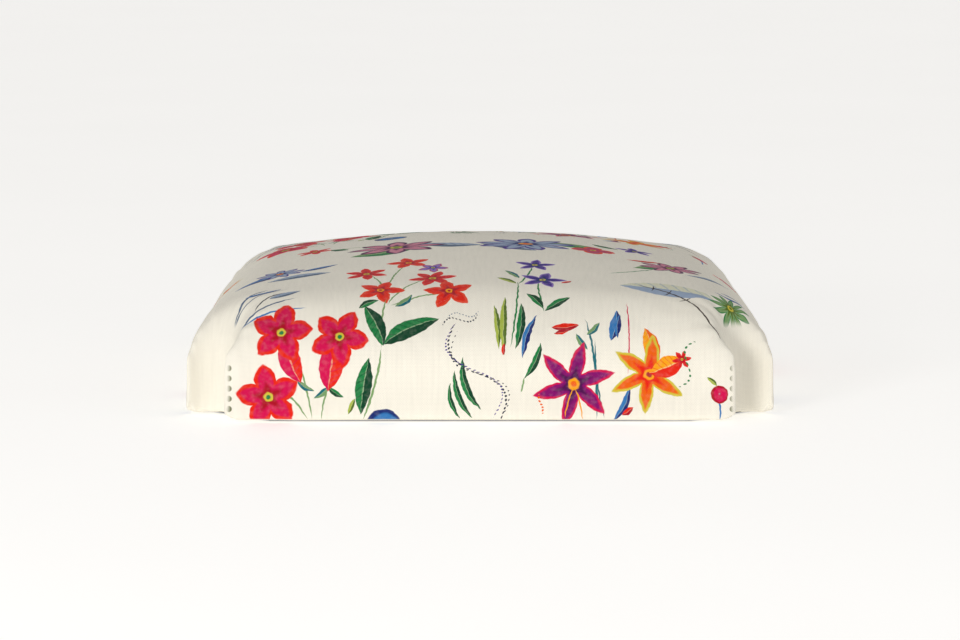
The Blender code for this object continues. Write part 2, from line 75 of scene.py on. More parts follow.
# Of each notch: its middle across, its radius, where it starts to open out, and how far and
# how high it opens.
FRONT_NOTCH = (0.1925, 0.0191, 0.044, 0.026, 0.036)
REAR_NOTCH = (0.1840, 0.0195, 0.058, 0.014, 0.024)
NOTCHES = {(-1, -1): FRONT_NOTCH, (1, -1): FRONT_NOTCH, (-1, 1): REAR_NOTCH, (1, 1): REAR_NOTCH}
NOTCH_Y = {-1: -DEPTH / 2 + 0.019, 1: DEPTH / 2 - 0.018}
LIP = 0.0056
print("pad: %.0f x %.0f x %.0f mm" % (WIDTH_FRONT * 1e3, DEPTH * 1e3, cover_high.z * 1e3))


# %% Shape of the pad
def half_width(y):
    """Half of the pad's width at y. The pad narrows a little to the back."""
    return WIDTH_FRONT / 2 - TAPER * (y + DEPTH / 2)


def notch_axis(corner):
    """Where the middle of a leg or post stands."""
    return Vector((corner[0] * NOTCHES[corner][0], NOTCH_Y[corner[1]]))


def roll_share(distance):
    """How far up the rounded edge the cloth is: 0 at the edge and 1 where the top begins."""
    left = np.clip(1 - np.maximum(0.0, distance) / ROLL_DEPTH, 0, 1)
    return np.sqrt(1 - left * left)


def crown_height(x, y):
    """How much the stretched top is crowned at a place."""
    across = np.maximum(0.0, 1 - (x / half_width(y)) ** 2)
    return CROWN * across * np.maximum(0.0, 1 - (y / (DEPTH / 2)) ** 2)


def top_height(x, y):
    """Height of the stretched top at a place."""
    roll = roll_share(half_width(y) - abs(x)) * roll_share(DEPTH / 2 - abs(y))
    return SHOULDER + ROLL_HEIGHT * roll + crown_height(x, y)


print("crown at the middle: %.1f mm" % (top_height(0.0, 0.0) * 1e3))

# %% [markdown]
# ## The stuffed form
#
# A seat pad's shape comes from its stuffing. It could be sculpted, but a block is easier to
# control: a cube is cut into a grid, the grid crowds towards the edges where the form turns,
# and each point of the top is lifted to the crown. Turned cutters then take out the four
# corners for the legs. They open out over the leg tops, so the stuffing rolls over there.

# %% Helpers for meshes
def finish_mesh(name, shape):
    """Make an object of a bmesh."""
    mesh = bpy.data.meshes.new(name)
    shape.to_mesh(mesh)
    shape.free()
    made = bpy.data.objects.new(name, mesh)
    bpy.context.scene.collection.objects.link(made)
    return made


def apply_modifiers(obj):
    """Replace an object's mesh by what its modifiers make of it."""
    graph = bpy.context.evaluated_depsgraph_get()
    mesh = bpy.data.meshes.new_from_object(obj.evaluated_get(graph))
    obj.modifiers.clear()
    obj.data = mesh


def remove(obj):
    bpy.data.objects.remove(obj, do_unlink=True)


def places_of(obj):
    """The points of an object's mesh, one row each."""
    flat = np.empty(len(obj.data.vertices) * 3)
    obj.data.vertices.foreach_get("co", flat)
    return flat.reshape(-1, 3)


print("mesh helpers ready")

# %% Block out the form
GRID_CUTS = 59
CROWDING = 0.65


def crowd(value):
    """Move grid lines towards the edges of the pad."""
    return (1 - CROWDING) * value + CROWDING * math.sin(value * math.pi / 2)


block = bmesh.new()
bmesh.ops.create_cube(block, size=2.0)
bmesh.ops.subdivide_edges(block, edges=block.edges, cuts=GRID_CUTS, use_grid_fill=True)
for vert in block.verts:
    across, along, up = vert.co
    y = crowd(along) * DEPTH / 2
    x = crowd(across) * half_width(y)
    if up > 0.999:
        z = float(top_height(x, y))
    else:
        z = BOTTOM + (SHOULDER - BOTTOM) * (up + 1) / 2
    vert.co = (x, y, z)
form = finish_mesh("stuffed_form", block)
print("form:", len(form.data.vertices), "points")

# %% Cutters for the legs
FLARE_STEPS = 10
TURN_STEPS = 64


def notch_profile(corner):
    """Half the outline of a notch: straight beside the leg, then rolling out over its top."""
    _, radius, start, depth, height = NOTCHES[corner]
    points = [(0.0, -0.02), (radius, -0.02)]
    for step in range(FLARE_STEPS + 1):
        angle = math.radians(80) * step / FLARE_STEPS
        points.append((radius + depth * (1 - math.cos(angle)), start + height * math.sin(angle)))
    points.append((points[-1][0] + 0.03, points[-1][1] + 0.008))
    points.append((points[-1][0], 0.15))
    points.append((0.0, 0.15))
    return points


def turned(name, points):
    """Spin half an outline round Z into a closed solid."""
    shape = bmesh.new()
    verts = [shape.verts.new((x, 0.0, z)) for x, z in points]
    edges = [shape.edges.new(pair) for pair in zip(verts, verts[1:])]
    bmesh.ops.spin(shape, geom=verts + edges, cent=(0, 0, 0), axis=(0, 0, 1), dvec=(0, 0, 0),
                   angle=math.tau, steps=TURN_STEPS, use_merge=True, use_duplicate=False)
    bmesh.ops.remove_doubles(shape, verts=shape.verts, dist=1e-6)
    bmesh.ops.recalc_face_normals(shape, faces=shape.faces)
    return finish_mesh(name, shape)


def lip_block(name, corner):
    """A block that trims the thin lips of the form outside a leg."""
    out = Vector((*corner, 0)).normalized()
    centre = Vector((*notch_axis(corner), 0.05)) + out * (LIP + 0.05)
    shape = bmesh.new()
    bmesh.ops.create_cube(shape, size=1.0)
    bmesh.ops.scale(shape, vec=(0.1, 0.2, 0.3), verts=shape.verts)
    turn = Matrix.Rotation(math.atan2(out.y, out.x), 4, "Z")
    bmesh.ops.transform(shape, matrix=Matrix.Translation(centre) @ turn, verts=shape.verts)
    return finish_mesh(name, shape)


print("each cutter is turned in", TURN_STEPS, "steps")


# %% Cut the four corners
def cut(obj, cutter):
    """Take a cutter out of an object, at once, and throw the cutter away."""
    modifier = obj.modifiers.new("cut", "BOOLEAN")
    modifier.operation = "DIFFERENCE"
    modifier.solver = "EXACT"
    modifier.object = cutter
    bpy.context.view_layer.update()
    apply_modifiers(obj)
    remove(cutter)


for corner in NOTCHES:
    cut(form, lip_block("lip_block", corner))
    notch = turned("notch_cutter", notch_profile(corner))
    notch.data.transform(Matrix.Translation((*notch_axis(corner), 0)))
    cut(form, notch)
print("notched form:", len(form.data.polygons), "faces")

# %% [markdown]
# ## Stretching the cloth
#
# Real cloth pulled over foam is never as exact as a cut block. The form is remeshed into even
# small faces and becomes a cloth that is blown up a little from inside, as springy foam does.
# A cap on how far a point may move keeps the pad's size, and the cloth is held at its lower
# edge, where it is stapled, and round the legs. A voxel remesh leaves faint steps on gentle
# slopes, so the new faces are first wrapped back onto the block and then softened.

# %% Make the faces even
VOXEL = 0.0040
SOFT_ROUNDS = 6


def remeshed(obj, voxel):
    modifier = obj.modifiers.new("even_faces", "REMESH")
    modifier.mode = "VOXEL"
    modifier.voxel_size = voxel
    apply_modifiers(obj)


def wrapped_onto(obj, target):
    """Move each point to the nearest place on another object, and remove that object."""
    modifier = obj.modifiers.new("wrap", "SHRINKWRAP")
    modifier.target = target
    bpy.context.view_layer.update()
    apply_modifiers(obj)
    remove(target)


def soften(obj, rounds, keep_below):
    """Ease sharp folds, but leave the lower edge crisp."""
    shape = bmesh.new()
    shape.from_mesh(obj.data)
    for index in range(rounds):
        free = [v for v in shape.verts if v.co.z > keep_below * (index > 0)]
        bmesh.ops.smooth_vert(shape, verts=free, factor=0.5, use_axis_x=True, use_axis_y=True,
                              use_axis_z=True)
    shape.to_mesh(obj.data)
    shape.free()


exact = bpy.data.objects.new("exact_form", form.data.copy())
bpy.context.scene.collection.objects.link(exact)
remeshed(form, VOXEL)
wrapped_onto(form, exact)
soften(form, SOFT_ROUNDS, BOTTOM + 0.004)
print("even form:", len(form.data.vertices), "points")

# %% Which points are held
SWELL_CAP = 0.0035


def from_notches(places):
    """How far each point is from the nearest notch, less than 0 inside it."""
    nearest = np.full(len(places), 1.0)
    for corner in NOTCHES:
        axis, radius = notch_axis(corner), NOTCHES[corner][1]
        away = np.hypot(places[:, 0] - axis.x, places[:, 1] - axis.y)
        nearest = np.minimum(nearest, away - radius)
    return nearest


def smooth_share(value, low, high):
    """From 0 at low to 1 at high, with soft ends."""
    share = np.clip((value - low) / (high - low), 0, 1)
    return share * share * (3 - 2 * share)


print("points in a notch:", int((from_notches(places_of(form)) < 0).sum()))


# %% Swell the cloth
def swell(obj, cap, frames=20):
    """Run a cloth simulation with air pressure, and cap the movement of each point."""
    before = places_of(obj)
    cloth = obj.modifiers.new("cloth", "CLOTH")
    cloth.settings.quality = 5
    cloth.settings.mass = 0.25
    cloth.settings.tension_stiffness = 25
    cloth.settings.compression_stiffness = 25
    cloth.settings.bending_stiffness = 0.6
    cloth.settings.use_pressure = True
    cloth.settings.uniform_pressure_force = 4
    cloth.settings.effector_weights.gravity = 0
    cloth.point_cache.frame_end = frames
    for number in range(1, frames + 1):
        bpy.context.scene.frame_set(number)
    apply_modifiers(obj)
    bpy.context.scene.frame_set(1)
    move = places_of(obj) - before
    length = np.linalg.norm(move, axis=1)
    share = np.minimum(1.0, cap / np.maximum(length, 1e-9))
    free = smooth_share(before[:, 2], 0.006, 0.028)
    free *= np.clip((from_notches(before) - 0.002) / 0.025, 0, 1)
    moved = before + move * (share * free)[:, None]
    obj.data.vertices.foreach_set("co", moved.ravel())
    obj.data.update()
    print("swelling: most %.1f mm before the cap" % (length.max() * 1e3))


swell(form, SWELL_CAP)
print("cloth:", len(form.data.vertices), "points")

# %% [markdown]
# ### Small signs of the upholsterer's hand
#
# The cloth is divided once more for its fine shape. It puckers slightly where it is pulled
# round a leg, it waves by a hair along the hem between staples, and the foam is never quite
# even. The hem's corners beside the legs are folded round, so they end in a small curve. The
# hidden middle of the underside needs no small faces, so those become one.

# %% Puckers, waves and folds
PUCKER, PUCKER_REACH = 0.00045, 0.030
HEM_WAVE, STAPLE_PITCH = 0.00035, 0.036
UNEVEN, UNEVEN_SIZE = 0.0009, 0.075
CORNER_FOLD = 0.009
HIDDEN_INSET, HIDDEN_FROM_LEG = 0.022, 0.045


def subdivided(obj):
    modifier = obj.modifiers.new("fine_faces", "SUBSURF")
    modifier.levels = 1
    modifier.render_levels = 1
    apply_modifiers(obj)


def side_distance(places):
    """How far in each point is from the pad's nearest outer face."""
    x, y = places[:, 0], places[:, 1]
    return np.minimum(half_width(y) - abs(x), DEPTH / 2 - abs(y))


def normals_of(obj):
    flat = np.empty(len(obj.data.vertices) * 3)
    obj.data.vertices.foreach_get("normal", flat)
    return flat.reshape(-1, 3)


def work_cloth(obj):
    """Lay puckers, waves and unevenness over the cloth."""
    places, normals = places_of(obj), normals_of(obj)
    lift = np.zeros(len(places))
    for corner in NOTCHES:
        axis, radius = notch_axis(corner), NOTCHES[corner][1]
        x, y = places[:, 0] - axis.x, places[:, 1] - axis.y
        beyond = np.hypot(x, y) - radius
        angle = np.arctan2(y, x)
        folds = np.sin(angle * 15 + 1.3 * corner[0]) + 0.6 * np.sin(angle * 23 + corner[1])
        fade = np.exp(-np.maximum(beyond - 0.008, 0) / PUCKER_REACH)
        lift += PUCKER * folds * fade * smooth_share(beyond, 0.002, 0.012)
    up = smooth_share(places[:, 2], 0.030, 0.060)
    for index, place in enumerate(places):
        where = Vector(place) / UNEVEN_SIZE
        lift[index] += UNEVEN * noise.noise(where) * up[index]
        lift[index] += UNEVEN * 0.35 * noise.noise(where * 3.1) * up[index]
    hem = 1 - smooth_share(places[:, 2], 0.002, 0.020)
    around = np.where(side_distance(places) + abs(places[:, 0]) > DEPTH / 2 - 0.001,
                      places[:, 0], places[:, 1])
    wave = np.cos(around * math.tau / STAPLE_PITCH) * HEM_WAVE
    lift += wave * hem * (abs(normals[:, 2]) < 0.7)
    places += normals * lift[:, None]
    # Round the hem's corners beside the legs, outside the rails.
    beside = np.clip(CORNER_FOLD - np.maximum(from_notches(places), 0), 0, CORNER_FOLD)
    raised = CORNER_FOLD - np.sqrt(CORNER_FOLD ** 2 - beside ** 2)
    raised *= 1 - smooth_share(side_distance(places), 0.003, 0.0065)
    places[:, 2] += raised * np.clip(1 - places[:, 2] / 0.03, 0, 1)
    obj.data.vertices.foreach_set("co", places.ravel())
    obj.data.update()


subdivided(form)
work_cloth(form)
print("worked cloth:", len(form.data.vertices), "points")


# %% Merge what the dust cover hides
def merge_hidden_underside(obj):
    """Dissolve the flat faces that the dust cover hides into one."""
    shape = bmesh.new()
    shape.from_mesh(obj.data)
    hidden = []
    for face in shape.faces:
        middle = face.calc_center_median()
        x, y = middle.x, middle.y
        inside = min(half_width(y) - abs(x), DEPTH / 2 - abs(y)) > HIDDEN_INSET
        near = min((Vector((x, y)) - notch_axis(corner)).length for corner in NOTCHES)
        below = middle.z < BOTTOM + 0.002 and face.normal.z < -0.9
        if below and inside and near > HIDDEN_FROM_LEG:
            hidden.append(face)
    bmesh.ops.dissolve_faces(shape, faces=hidden, use_verts=True)
    shape.to_mesh(obj.data)
    shape.free()


merge_hidden_underside(form)
print("merged cloth:", len(form.data.vertices), "points,",
      sum(len(face.vertices) - 2 for face in form.data.polygons), "triangles")

# %% [markdown]
# ## Laying out the print
#
# The print has to run over the front edge as it does on cloth, so it can't be projected from
# above. Each point gets its place on the flat cloth, in metres: on the top these are the pad's
# own two directions, and over the rounded edge and down the sides they count along the curve.
# Up is measured from the front hem. On the walls round the legs and underneath, the cloth is
# only plain ground, and a mask says where. There the flat places are squeezed, so the weave
# has a second UV map with pieces of its own.

# %% Lengths along the cloth
def arc_table(count=400):
    """Lengths along the quarter ellipse of the rounded edge, from its top end down."""
    angles = np.linspace(0, math.pi / 2, count)
    steps = np.hypot(np.diff(ROLL_DEPTH * np.sin(angles)), np.diff(ROLL_HEIGHT * np.cos(angles)))
    return angles, np.concatenate([[0.0], np.cumsum(steps)])


ARC_ANGLES, ARC_LENGTHS = arc_table()
ARC_TOTAL = ARC_LENGTHS[-1]


def along_cloth(inset, height, crown, other_roll, half):
    """How far a point is from the middle, along the cloth, in one direction.

    inset is its distance from the outer face, and half is from the middle to that face.
    """
    by_inset = np.arcsin(np.clip(1 - inset / ROLL_DEPTH, 0, 1))
    rise = ROLL_HEIGHT * np.maximum(other_roll, 0.35)
    by_height = np.arccos(np.clip((height - SHOULDER - crown) / rise, 0, 1))
    steep = smooth_share(by_inset, math.radians(35), math.radians(60))
    angle = by_inset * (1 - steep) + by_height * steep
    on_roll = half - ROLL_DEPTH + np.interp(angle, ARC_ANGLES, ARC_LENGTHS)
    below = np.maximum(0.0, SHOULDER - height) * (1 - smooth_share(inset, 0.004, 0.012))
    return np.where(inset > ROLL_DEPTH, half - inset, on_roll) + below


print("round the edge: %.1f mm of cloth" % (ARC_TOTAL * 1e3))

# %% Threads round the legs
WALL_REACH, WALL_FACING = 0.045, 0.30
WALL_ROUND = 0.008
IN_NOTCH = (0.0035, 0.0065)


def round_notches(places, normals):
    """For each point: how far past the nearest leg, how much it faces it, and how far round."""
    past = np.full(len(places), 1.0)
    facing, turned_by = np.zeros(len(places)), np.zeros(len(places))
    for corner in NOTCHES:
        axis, radius = notch_axis(corner), NOTCHES[corner][1]
        x, y = places[:, 0] - axis.x, places[:, 1] - axis.y
        away = np.maximum(np.hypot(x, y), 1e-6)
        nearer = away - radius < past
        angle = np.arctan2(y, x) - math.atan2(-corner[1], -corner[0])
        angle = (angle + math.pi) % math.tau - math.pi
        past[nearer] = (away - radius)[nearer]
        facing[nearer] = (-(normals[:, 0] * x + normals[:, 1] * y) / away)[nearer]
        turned_by[nearer] = (angle * (radius + WALL_ROUND))[nearer]
    return past, facing, turned_by


def lay_threads(obj, flat, underneath):
    """A second UV map, for the weave. Round the legs and underneath it has its own pieces."""
    places, normals = places_of(obj), normals_of(obj)
    past, facing, turned_by = round_notches(places, normals)
    count = len(obj.data.polygons)
    sizes, corners = np.empty(count, dtype=np.int64), loop_points(obj)
    obj.data.polygons.foreach_get("loop_total", sizes)
    face = np.repeat(np.arange(count), sizes)
    mean = [np.bincount(face, values[corners]) / sizes for values in (past, facing, underneath)]
    below = mean[2] > 0.5
    wall = (mean[0] < WALL_REACH) & (mean[1] > WALL_FACING) & ~below
    round_leg = np.stack([turned_by, places[:, 2] + past], axis=1)
    threads = np.where(wall[face][:, None], round_leg[corners], flat[corners])
    threads = np.where(below[face][:, None], places[:, :2][corners], threads)
    layer = obj.data.uv_layers.new(name="threads")
    layer.data.foreach_set("uv", threads.ravel())
    print("faces round the legs:", int(wall.sum()), "and underneath:", int(below.sum()))


def loop_points(obj):
    """The point at each corner of each face."""
    corners = np.empty(len(obj.data.loops), dtype=np.int64)
    obj.data.loops.foreach_get("vertex_index", corners)
    return corners


print("threads turn round a leg up to %.0f mm from it" % (WALL_REACH * 1e3))


# %% Lay out the cloth
def lay_out(obj):
    """Give the cloth its UV maps, in metres, and its mask of plain ground."""
    places, normals = places_of(obj), normals_of(obj)
    x, y, z = places.T
    wide, deep = half_width(y), DEPTH / 2
    in_x, in_y = wide - abs(x), deep - abs(y)
    crown = crown_height(x, y)
    u = np.sign(x) * along_cloth(in_x, z, crown, roll_share(in_y), wide)
    v = np.sign(y) * along_cloth(in_y, z, crown, roll_share(in_x), deep)
    v += deep - ROLL_DEPTH + ARC_TOTAL + SHOULDER - BOTTOM
    layer = obj.data.uv_layers.new(name="cloth")
    flat = np.stack([u, v], axis=1)
    layer.data.foreach_set("uv", flat[loop_points(obj)].ravel())
    underneath = smooth_share(-normals[:, 2], 0.75, 0.95)
    in_notch = 1 - smooth_share(from_notches(places), *IN_NOTCH)
    mask = obj.data.attributes.new("plain", "FLOAT", "POINT")
    mask.data.foreach_set("value", np.maximum(underneath, in_notch))
    lay_threads(obj, flat, underneath)
    print("flat cloth: u %.0f to %.0f mm, v %.0f to %.0f mm" % tuple(
        value * 1e3 for value in (u.min(), u.max(), v.min(), v.max())))


lay_out(form)

for polygon in form.data.polygons:
    polygon.use_smooth = len(polygon.vertices) < 5
form.name = "seat_cover"
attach(form, "root")
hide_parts("cover", "wadding", "foam_cushion")

# %% [markdown]
# ## The printed cloth
#
# The cloth is a linen printed with loose garden flowers. A pattern made of nodes stays sharp
# at any distance. Each motif is a stamp: a node group that takes the cloth's colour so far,
# prints one flower, leaf, stem or row of dots on it, and hands it on. Places are given in
# millimetres on the flat cloth, across from its middle and up from the front hem, and the
# print repeats, as on any cloth from a roll.

# %% Helpers for node groups
REPEAT = (400.0, 300.0)
print("the print repeats every %.0f x %.0f mm" % REPEAT)


def new_group(name, inputs, outputs):
    """Start a node group with named sockets."""
    group = bpy.data.node_groups.new(name, "ShaderNodeTree")
    for label, kind, value in inputs:
        socket = group.interface.new_socket(label, in_out="INPUT", socket_type=kind)
        if value is not None:
            socket.default_value = value
    for label, kind in outputs:
        group.interface.new_socket(label, in_out="OUTPUT", socket_type=kind)
    return group, group.nodes.new("NodeGroupInput").outputs


def end_group(group, *values):
    """Send values to a group's outputs, in order."""
    out = group.nodes.new("NodeGroupOutput")
    for socket, value in zip(out.inputs, values):
        group.links.new(value, socket)
    return group


def feed(tree, socket, value):
    """Link a socket, or set its value."""
    if isinstance(value, bpy.types.NodeSocket):
        tree.links.new(value, socket)
    elif value is not None:
        socket.default_value = value


# %% Helpers for single nodes
def maths(tree, operation, *values):
    node = tree.nodes.new("ShaderNodeMath")
    node.operation = operation
    for socket, value in zip(node.inputs, values):
        feed(tree, socket, value)
    return node.outputs[0]


def vectors(tree, operation, *values):
    node = tree.nodes.new("ShaderNodeVectorMath")
    node.operation = operation
    for socket, value in zip(node.inputs, values):
        feed(tree, socket, value)
    return node.outputs["Value" if operation == "DOT_PRODUCT" else "Vector"]


def between(tree, value, low, high, start=0.0, end=1.0):
    """Smoothly from start at low to end at high, and flat outside."""
    node = tree.nodes.new("ShaderNodeMapRange")
    node.interpolation_type = "SMOOTHSTEP"
    node.clamp = False
    for socket, given in zip(node.inputs, (value, low, high, start, end)):
        feed(tree, socket, given)
    return node.outputs[0]


def mixed(tree, share, first, second, blend="MIX"):
    """The second colour over the first, by a share."""
    node = tree.nodes.new("ShaderNodeMix")
    node.data_type = "RGBA"
    node.blend_type = blend
    feed(tree, node.inputs[0], share)
    feed(tree, node.inputs[6], first)
    feed(tree, node.inputs[7], second)
    return node.outputs[2]


def ramp(tree, value, stops):
    """A colour ramp. Each stop is a place, an ink and, if it isn't 1, an opacity."""
    node = tree.nodes.new("ShaderNodeValToRGB")
    elements = node.color_ramp.elements
    elements.remove(elements[1])
    for index, (place, colour, *opacity) in enumerate(stops):
        element = elements.new(place) if index else elements[0]
        element.position = place
        element.color = (*colour[:3], opacity[0] if opacity else 1.0)
    feed(tree, node.inputs[0], value)
    return node.outputs["Color"], node.outputs["Alpha"]


def ink(red, green, blue):
    """A colour as a printer mixes it, 0 to 255, turned into light."""
    return (*[(part / 255) ** 2.2 for part in (red, green, blue)], 1.0)


print("node helpers ready")


# %% What every stamp starts with
def start_stamp(name, extra=()):
    """A group that prints one motif. Gives it, its inputs and where on the motif it is.

    Across and Along are the motif's own two directions, each divided by its half size, so
    one dot product each gives the place on the motif, from -1 to 1.
    """
    group, given = new_group(name, [
        ("Ground", "NodeSocketColor", None), ("Cloth", "NodeSocketVector", None),
        ("Place", "NodeSocketVector", None), ("Across", "NodeSocketVector", None),
        ("Along", "NodeSocketVector", None), *extra], [("Ground", "NodeSocketColor")])
    away = vectors(group, "SUBTRACT", given["Cloth"], given["Place"])
    across = vectors(group, "DOT_PRODUCT", away, given["Across"])
    along = vectors(group, "DOT_PRODUCT", away, given["Along"])
    return group, given, across, along


# %% [markdown]
# ### Motifs
#
# A flower is drawn in polar coordinates. The angle is folded into petals, which gives the
# distance to the petal's edge, and a ramp on the share of the way to that edge runs from the
# eye to the rim. A leaf is a lens whose middle line may bend, with ribs. A stem is a thinner
# lens of one ink. Dots are a row of circles along a wave.

# %% A flower
EDGE = 0.06
print("a petal's edge is soft over", EDGE, "of its length")


def flower(name, petals, point, waist, eye, heart, inner, petal, rim, curl=0.0):
    """A bloom: its petals, how pointed they are, how far in they part, and its inks."""
    group, given, across, along = start_stamp(name)
    distance = maths(group, "MULTIPLY", across, across)
    distance = maths(group, "MULTIPLY_ADD", along, along, distance)
    distance = maths(group, "SQRT", distance)
    angle = maths(group, "ARCTAN2", along, across)
    angle = maths(group, "MULTIPLY", angle, petals / math.tau)
    if curl:
        angle = maths(group, "MULTIPLY_ADD", distance, curl, angle)
    beside = maths(group, "PINGPONG", angle, 0.5)
    taper = maths(group, "MULTIPLY_ADD", beside, -2.0, 1.0)
    taper = maths(group, "POWER", taper, point)
    edge = maths(group, "MULTIPLY_ADD", taper, 1 - waist, waist)
    reach = maths(group, "DIVIDE", distance, edge)
    mask = between(group, reach, 1.0, 1.0 - EDGE)
    # Near the middle the rings are round, and further out they follow the petals.
    rings = maths(group, "MULTIPLY", distance, 1.5)
    outer = maths(group, "SUBTRACT", maths(group, "MULTIPLY_ADD", beside, 0.45, reach), rings)
    outer = maths(group, "MULTIPLY", outer, between(group, distance, 0.10, 0.34))
    shade = maths(group, "ADD", rings, outer)
    colour, _ = ramp(group, shade, [
        (0.0, heart), (0.08, heart), (0.12, eye), (0.18, eye), (0.23, inner), (0.34, inner),
        (0.55, petal), (0.80, petal), (0.92, rim)])
    end_group(group, mixed(group, mask, given["Ground"], colour))
    return group


# %% A leaf
def leaf(name, dark, light, ribs=True):
    """A two-toned leaf, with a pale line down its middle."""
    group, given, across, along = start_stamp(name, [("Bend", "NodeSocketFloat", 0.0)])
    taper = maths(group, "MULTIPLY", across, across)
    taper = maths(group, "SUBTRACT", 1.0, taper)
    side = maths(group, "MULTIPLY_ADD", taper, given["Bend"], along)
    taper = maths(group, "MAXIMUM", taper, 0.001)
    share = maths(group, "DIVIDE", side, taper)
    shade = maths(group, "MULTIPLY_ADD", share, 0.5, 0.5)
    pale = [(a + b * 2) / 3 for a, b in zip((0.8, 0.85, 0.6), light)]
    colour, mask = ramp(group, shade, [
        (0.0, dark, 0.0), (0.03, dark), (0.46, dark), (0.49, pale), (0.52, pale),
        (0.55, light), (0.97, light), (1.0, light, 0.0)])
    if ribs:
        off = maths(group, "ABSOLUTE", share)
        line = maths(group, "MULTIPLY_ADD", across, 4.0, off)
        line = maths(group, "PINGPONG", line, 0.5)
        line = between(group, line, 0.16, 0.02, 0.0, 0.6)
        colour = mixed(group, line, colour, dark)
    end_group(group, mixed(group, mask, given["Ground"], colour))
    return group


# %% Stems and dots
def stem_group():
    """One line of ink, thinner to its ends."""
    group, given, across, along = start_stamp("stem", [
        ("Bend", "NodeSocketFloat", 0.0), ("Ink", "NodeSocketColor", None)])
    square = maths(group, "MULTIPLY", across, across)
    taper = maths(group, "SUBTRACT", 1.0, square)
    side = maths(group, "MULTIPLY_ADD", taper, given["Bend"], along)
    off = maths(group, "ABSOLUTE", side)
    blunt = maths(group, "MULTIPLY_ADD", square, taper, taper)
    inside = maths(group, "SUBTRACT", blunt, off)
    mask = between(group, inside, 0.0, 0.4)
    end_group(group, mixed(group, mask, given["Ground"], given["Ink"]))
    return group


def dots_group():
    """A row of round dots along a wave."""
    group, given, across, along = start_stamp("dots", [
        ("Count", "NodeSocketFloat", 6.0), ("Wave", "NodeSocketFloat", 0.0),
        ("Dot", "NodeSocketFloat", 0.12), ("Ink", "NodeSocketColor", None)])
    wave = maths(group, "MULTIPLY", across, 3.0)
    wave = maths(group, "SINE", wave)
    off = maths(group, "MULTIPLY", wave, given["Wave"])
    off = maths(group, "SUBTRACT", along, off)
    off = maths(group, "MULTIPLY", off, given["Count"])
    cell = maths(group, "MULTIPLY", across, given["Count"])
    cell = maths(group, "WRAP", cell, 0.5, -0.5)
    cell = maths(group, "MULTIPLY", cell, cell)
    near = maths(group, "MULTIPLY_ADD", off, off, cell)
    round_dot = between(group, near, given["Dot"], 0.0)
    ends = maths(group, "ABSOLUTE", across)
    ends = between(group, ends, 1.0, 0.98)
    mask = maths(group, "MULTIPLY", round_dot, ends)
    mask = between(group, mask, 0.15, 0.45)
    end_group(group, mixed(group, mask, given["Ground"], given["Ink"]))
    return group


STEM, DOTS = stem_group(), dots_group()
print("dots take:", [socket.name for socket in DOTS.interface.items_tree][-4:])

# %% Inks
LINEN = ink(240, 235, 221)
MAGENTA, SCARLET = ink(206, 6, 78), ink(224, 36, 14)
CRIMSON, CORAL = ink(168, 4, 36), ink(228, 66, 34)
PLUM, VIOLET, LILAC = ink(78, 6, 78), ink(66, 40, 136), ink(138, 112, 188)
PURPLE, RED = ink(128, 10, 104), ink(208, 20, 32)
ORANGE, AMBER, YELLOW = ink(232, 96, 8), ink(244, 160, 20), ink(206, 190, 60)
PINE, GREEN, SAGE = ink(4, 66, 42), ink(30, 122, 66), ink(120, 156, 100)
MOSS, LIME, STRAW = ink(84, 108, 36), ink(164, 180, 72), ink(222, 222, 196)
TEAL, SKY, NAVY = ink(20, 104, 114), ink(52, 116, 178), ink(24, 44, 108)
SLATE, MIST, ROSE = ink(84, 104, 130), ink(150, 168, 194), ink(178, 64, 100)
BLUSH, BROWN, BEAD = ink(206, 128, 150), ink(58, 44, 40), ink(92, 98, 60)
SOOT = ink(50, 54, 68)

print("the ground is", [round(part, 3) for part in LINEN[:3]])

# %% Kinds of flower
STAR = flower("star_flower", 5, 0.70, 0.54, YELLOW, GREEN, CRIMSON, MAGENTA, SCARLET)
RED_STAR = flower("red_star", 5, 0.9, 0.42, AMBER, CRIMSON, CRIMSON, SCARLET, CORAL)
RUBY = flower("ruby_flower", 6, 0.8, 0.38, YELLOW, CRIMSON, CRIMSON, RED, SCARLET)
VIOLET_STAR = flower("violet_star", 5, 1.0, 0.34, YELLOW, NAVY, NAVY, VIOLET, LILAC, 0.06)
LILY = flower("purple_lily", 6, 1.1, 0.30, AMBER, ORANGE, PLUM, PURPLE, MAGENTA, 0.14)
GOLD_LILY = flower("gold_lily", 6, 1.1, 0.32, AMBER, CRIMSON, SCARLET, ORANGE, YELLOW, -0.10)
DAISY = flower("daisy", 9, 0.45, 0.36, AMBER, SCARLET, NAVY, MIST, VIOLET)
PINK_DAISY = flower("pink_daisy", 8, 0.5, 0.38, YELLOW, GREEN, PLUM, BLUSH, PLUM)
ROSETTE = flower("rosette", 11, 0.8, 0.34, YELLOW, MOSS, MOSS, SAGE, GREEN)
CUP = flower("cup_flower", 4, 0.5, 0.5, YELLOW, GREEN, MAGENTA, ROSE, CORAL)
LILAC_STAR = flower("lilac_star", 5, 0.8, 0.4, YELLOW, GREEN, VIOLET, LILAC, ROSE)
BERRY = flower("berry", 1, 0.05, 0.9, ROSE, BLUSH, MAGENTA, MAGENTA, CRIMSON)
DOME = flower("blue_dome", 1, 0.05, 0.9, MIST, SLATE, SLATE, SKY, NAVY)

print("groups so far:", len(bpy.data.node_groups))

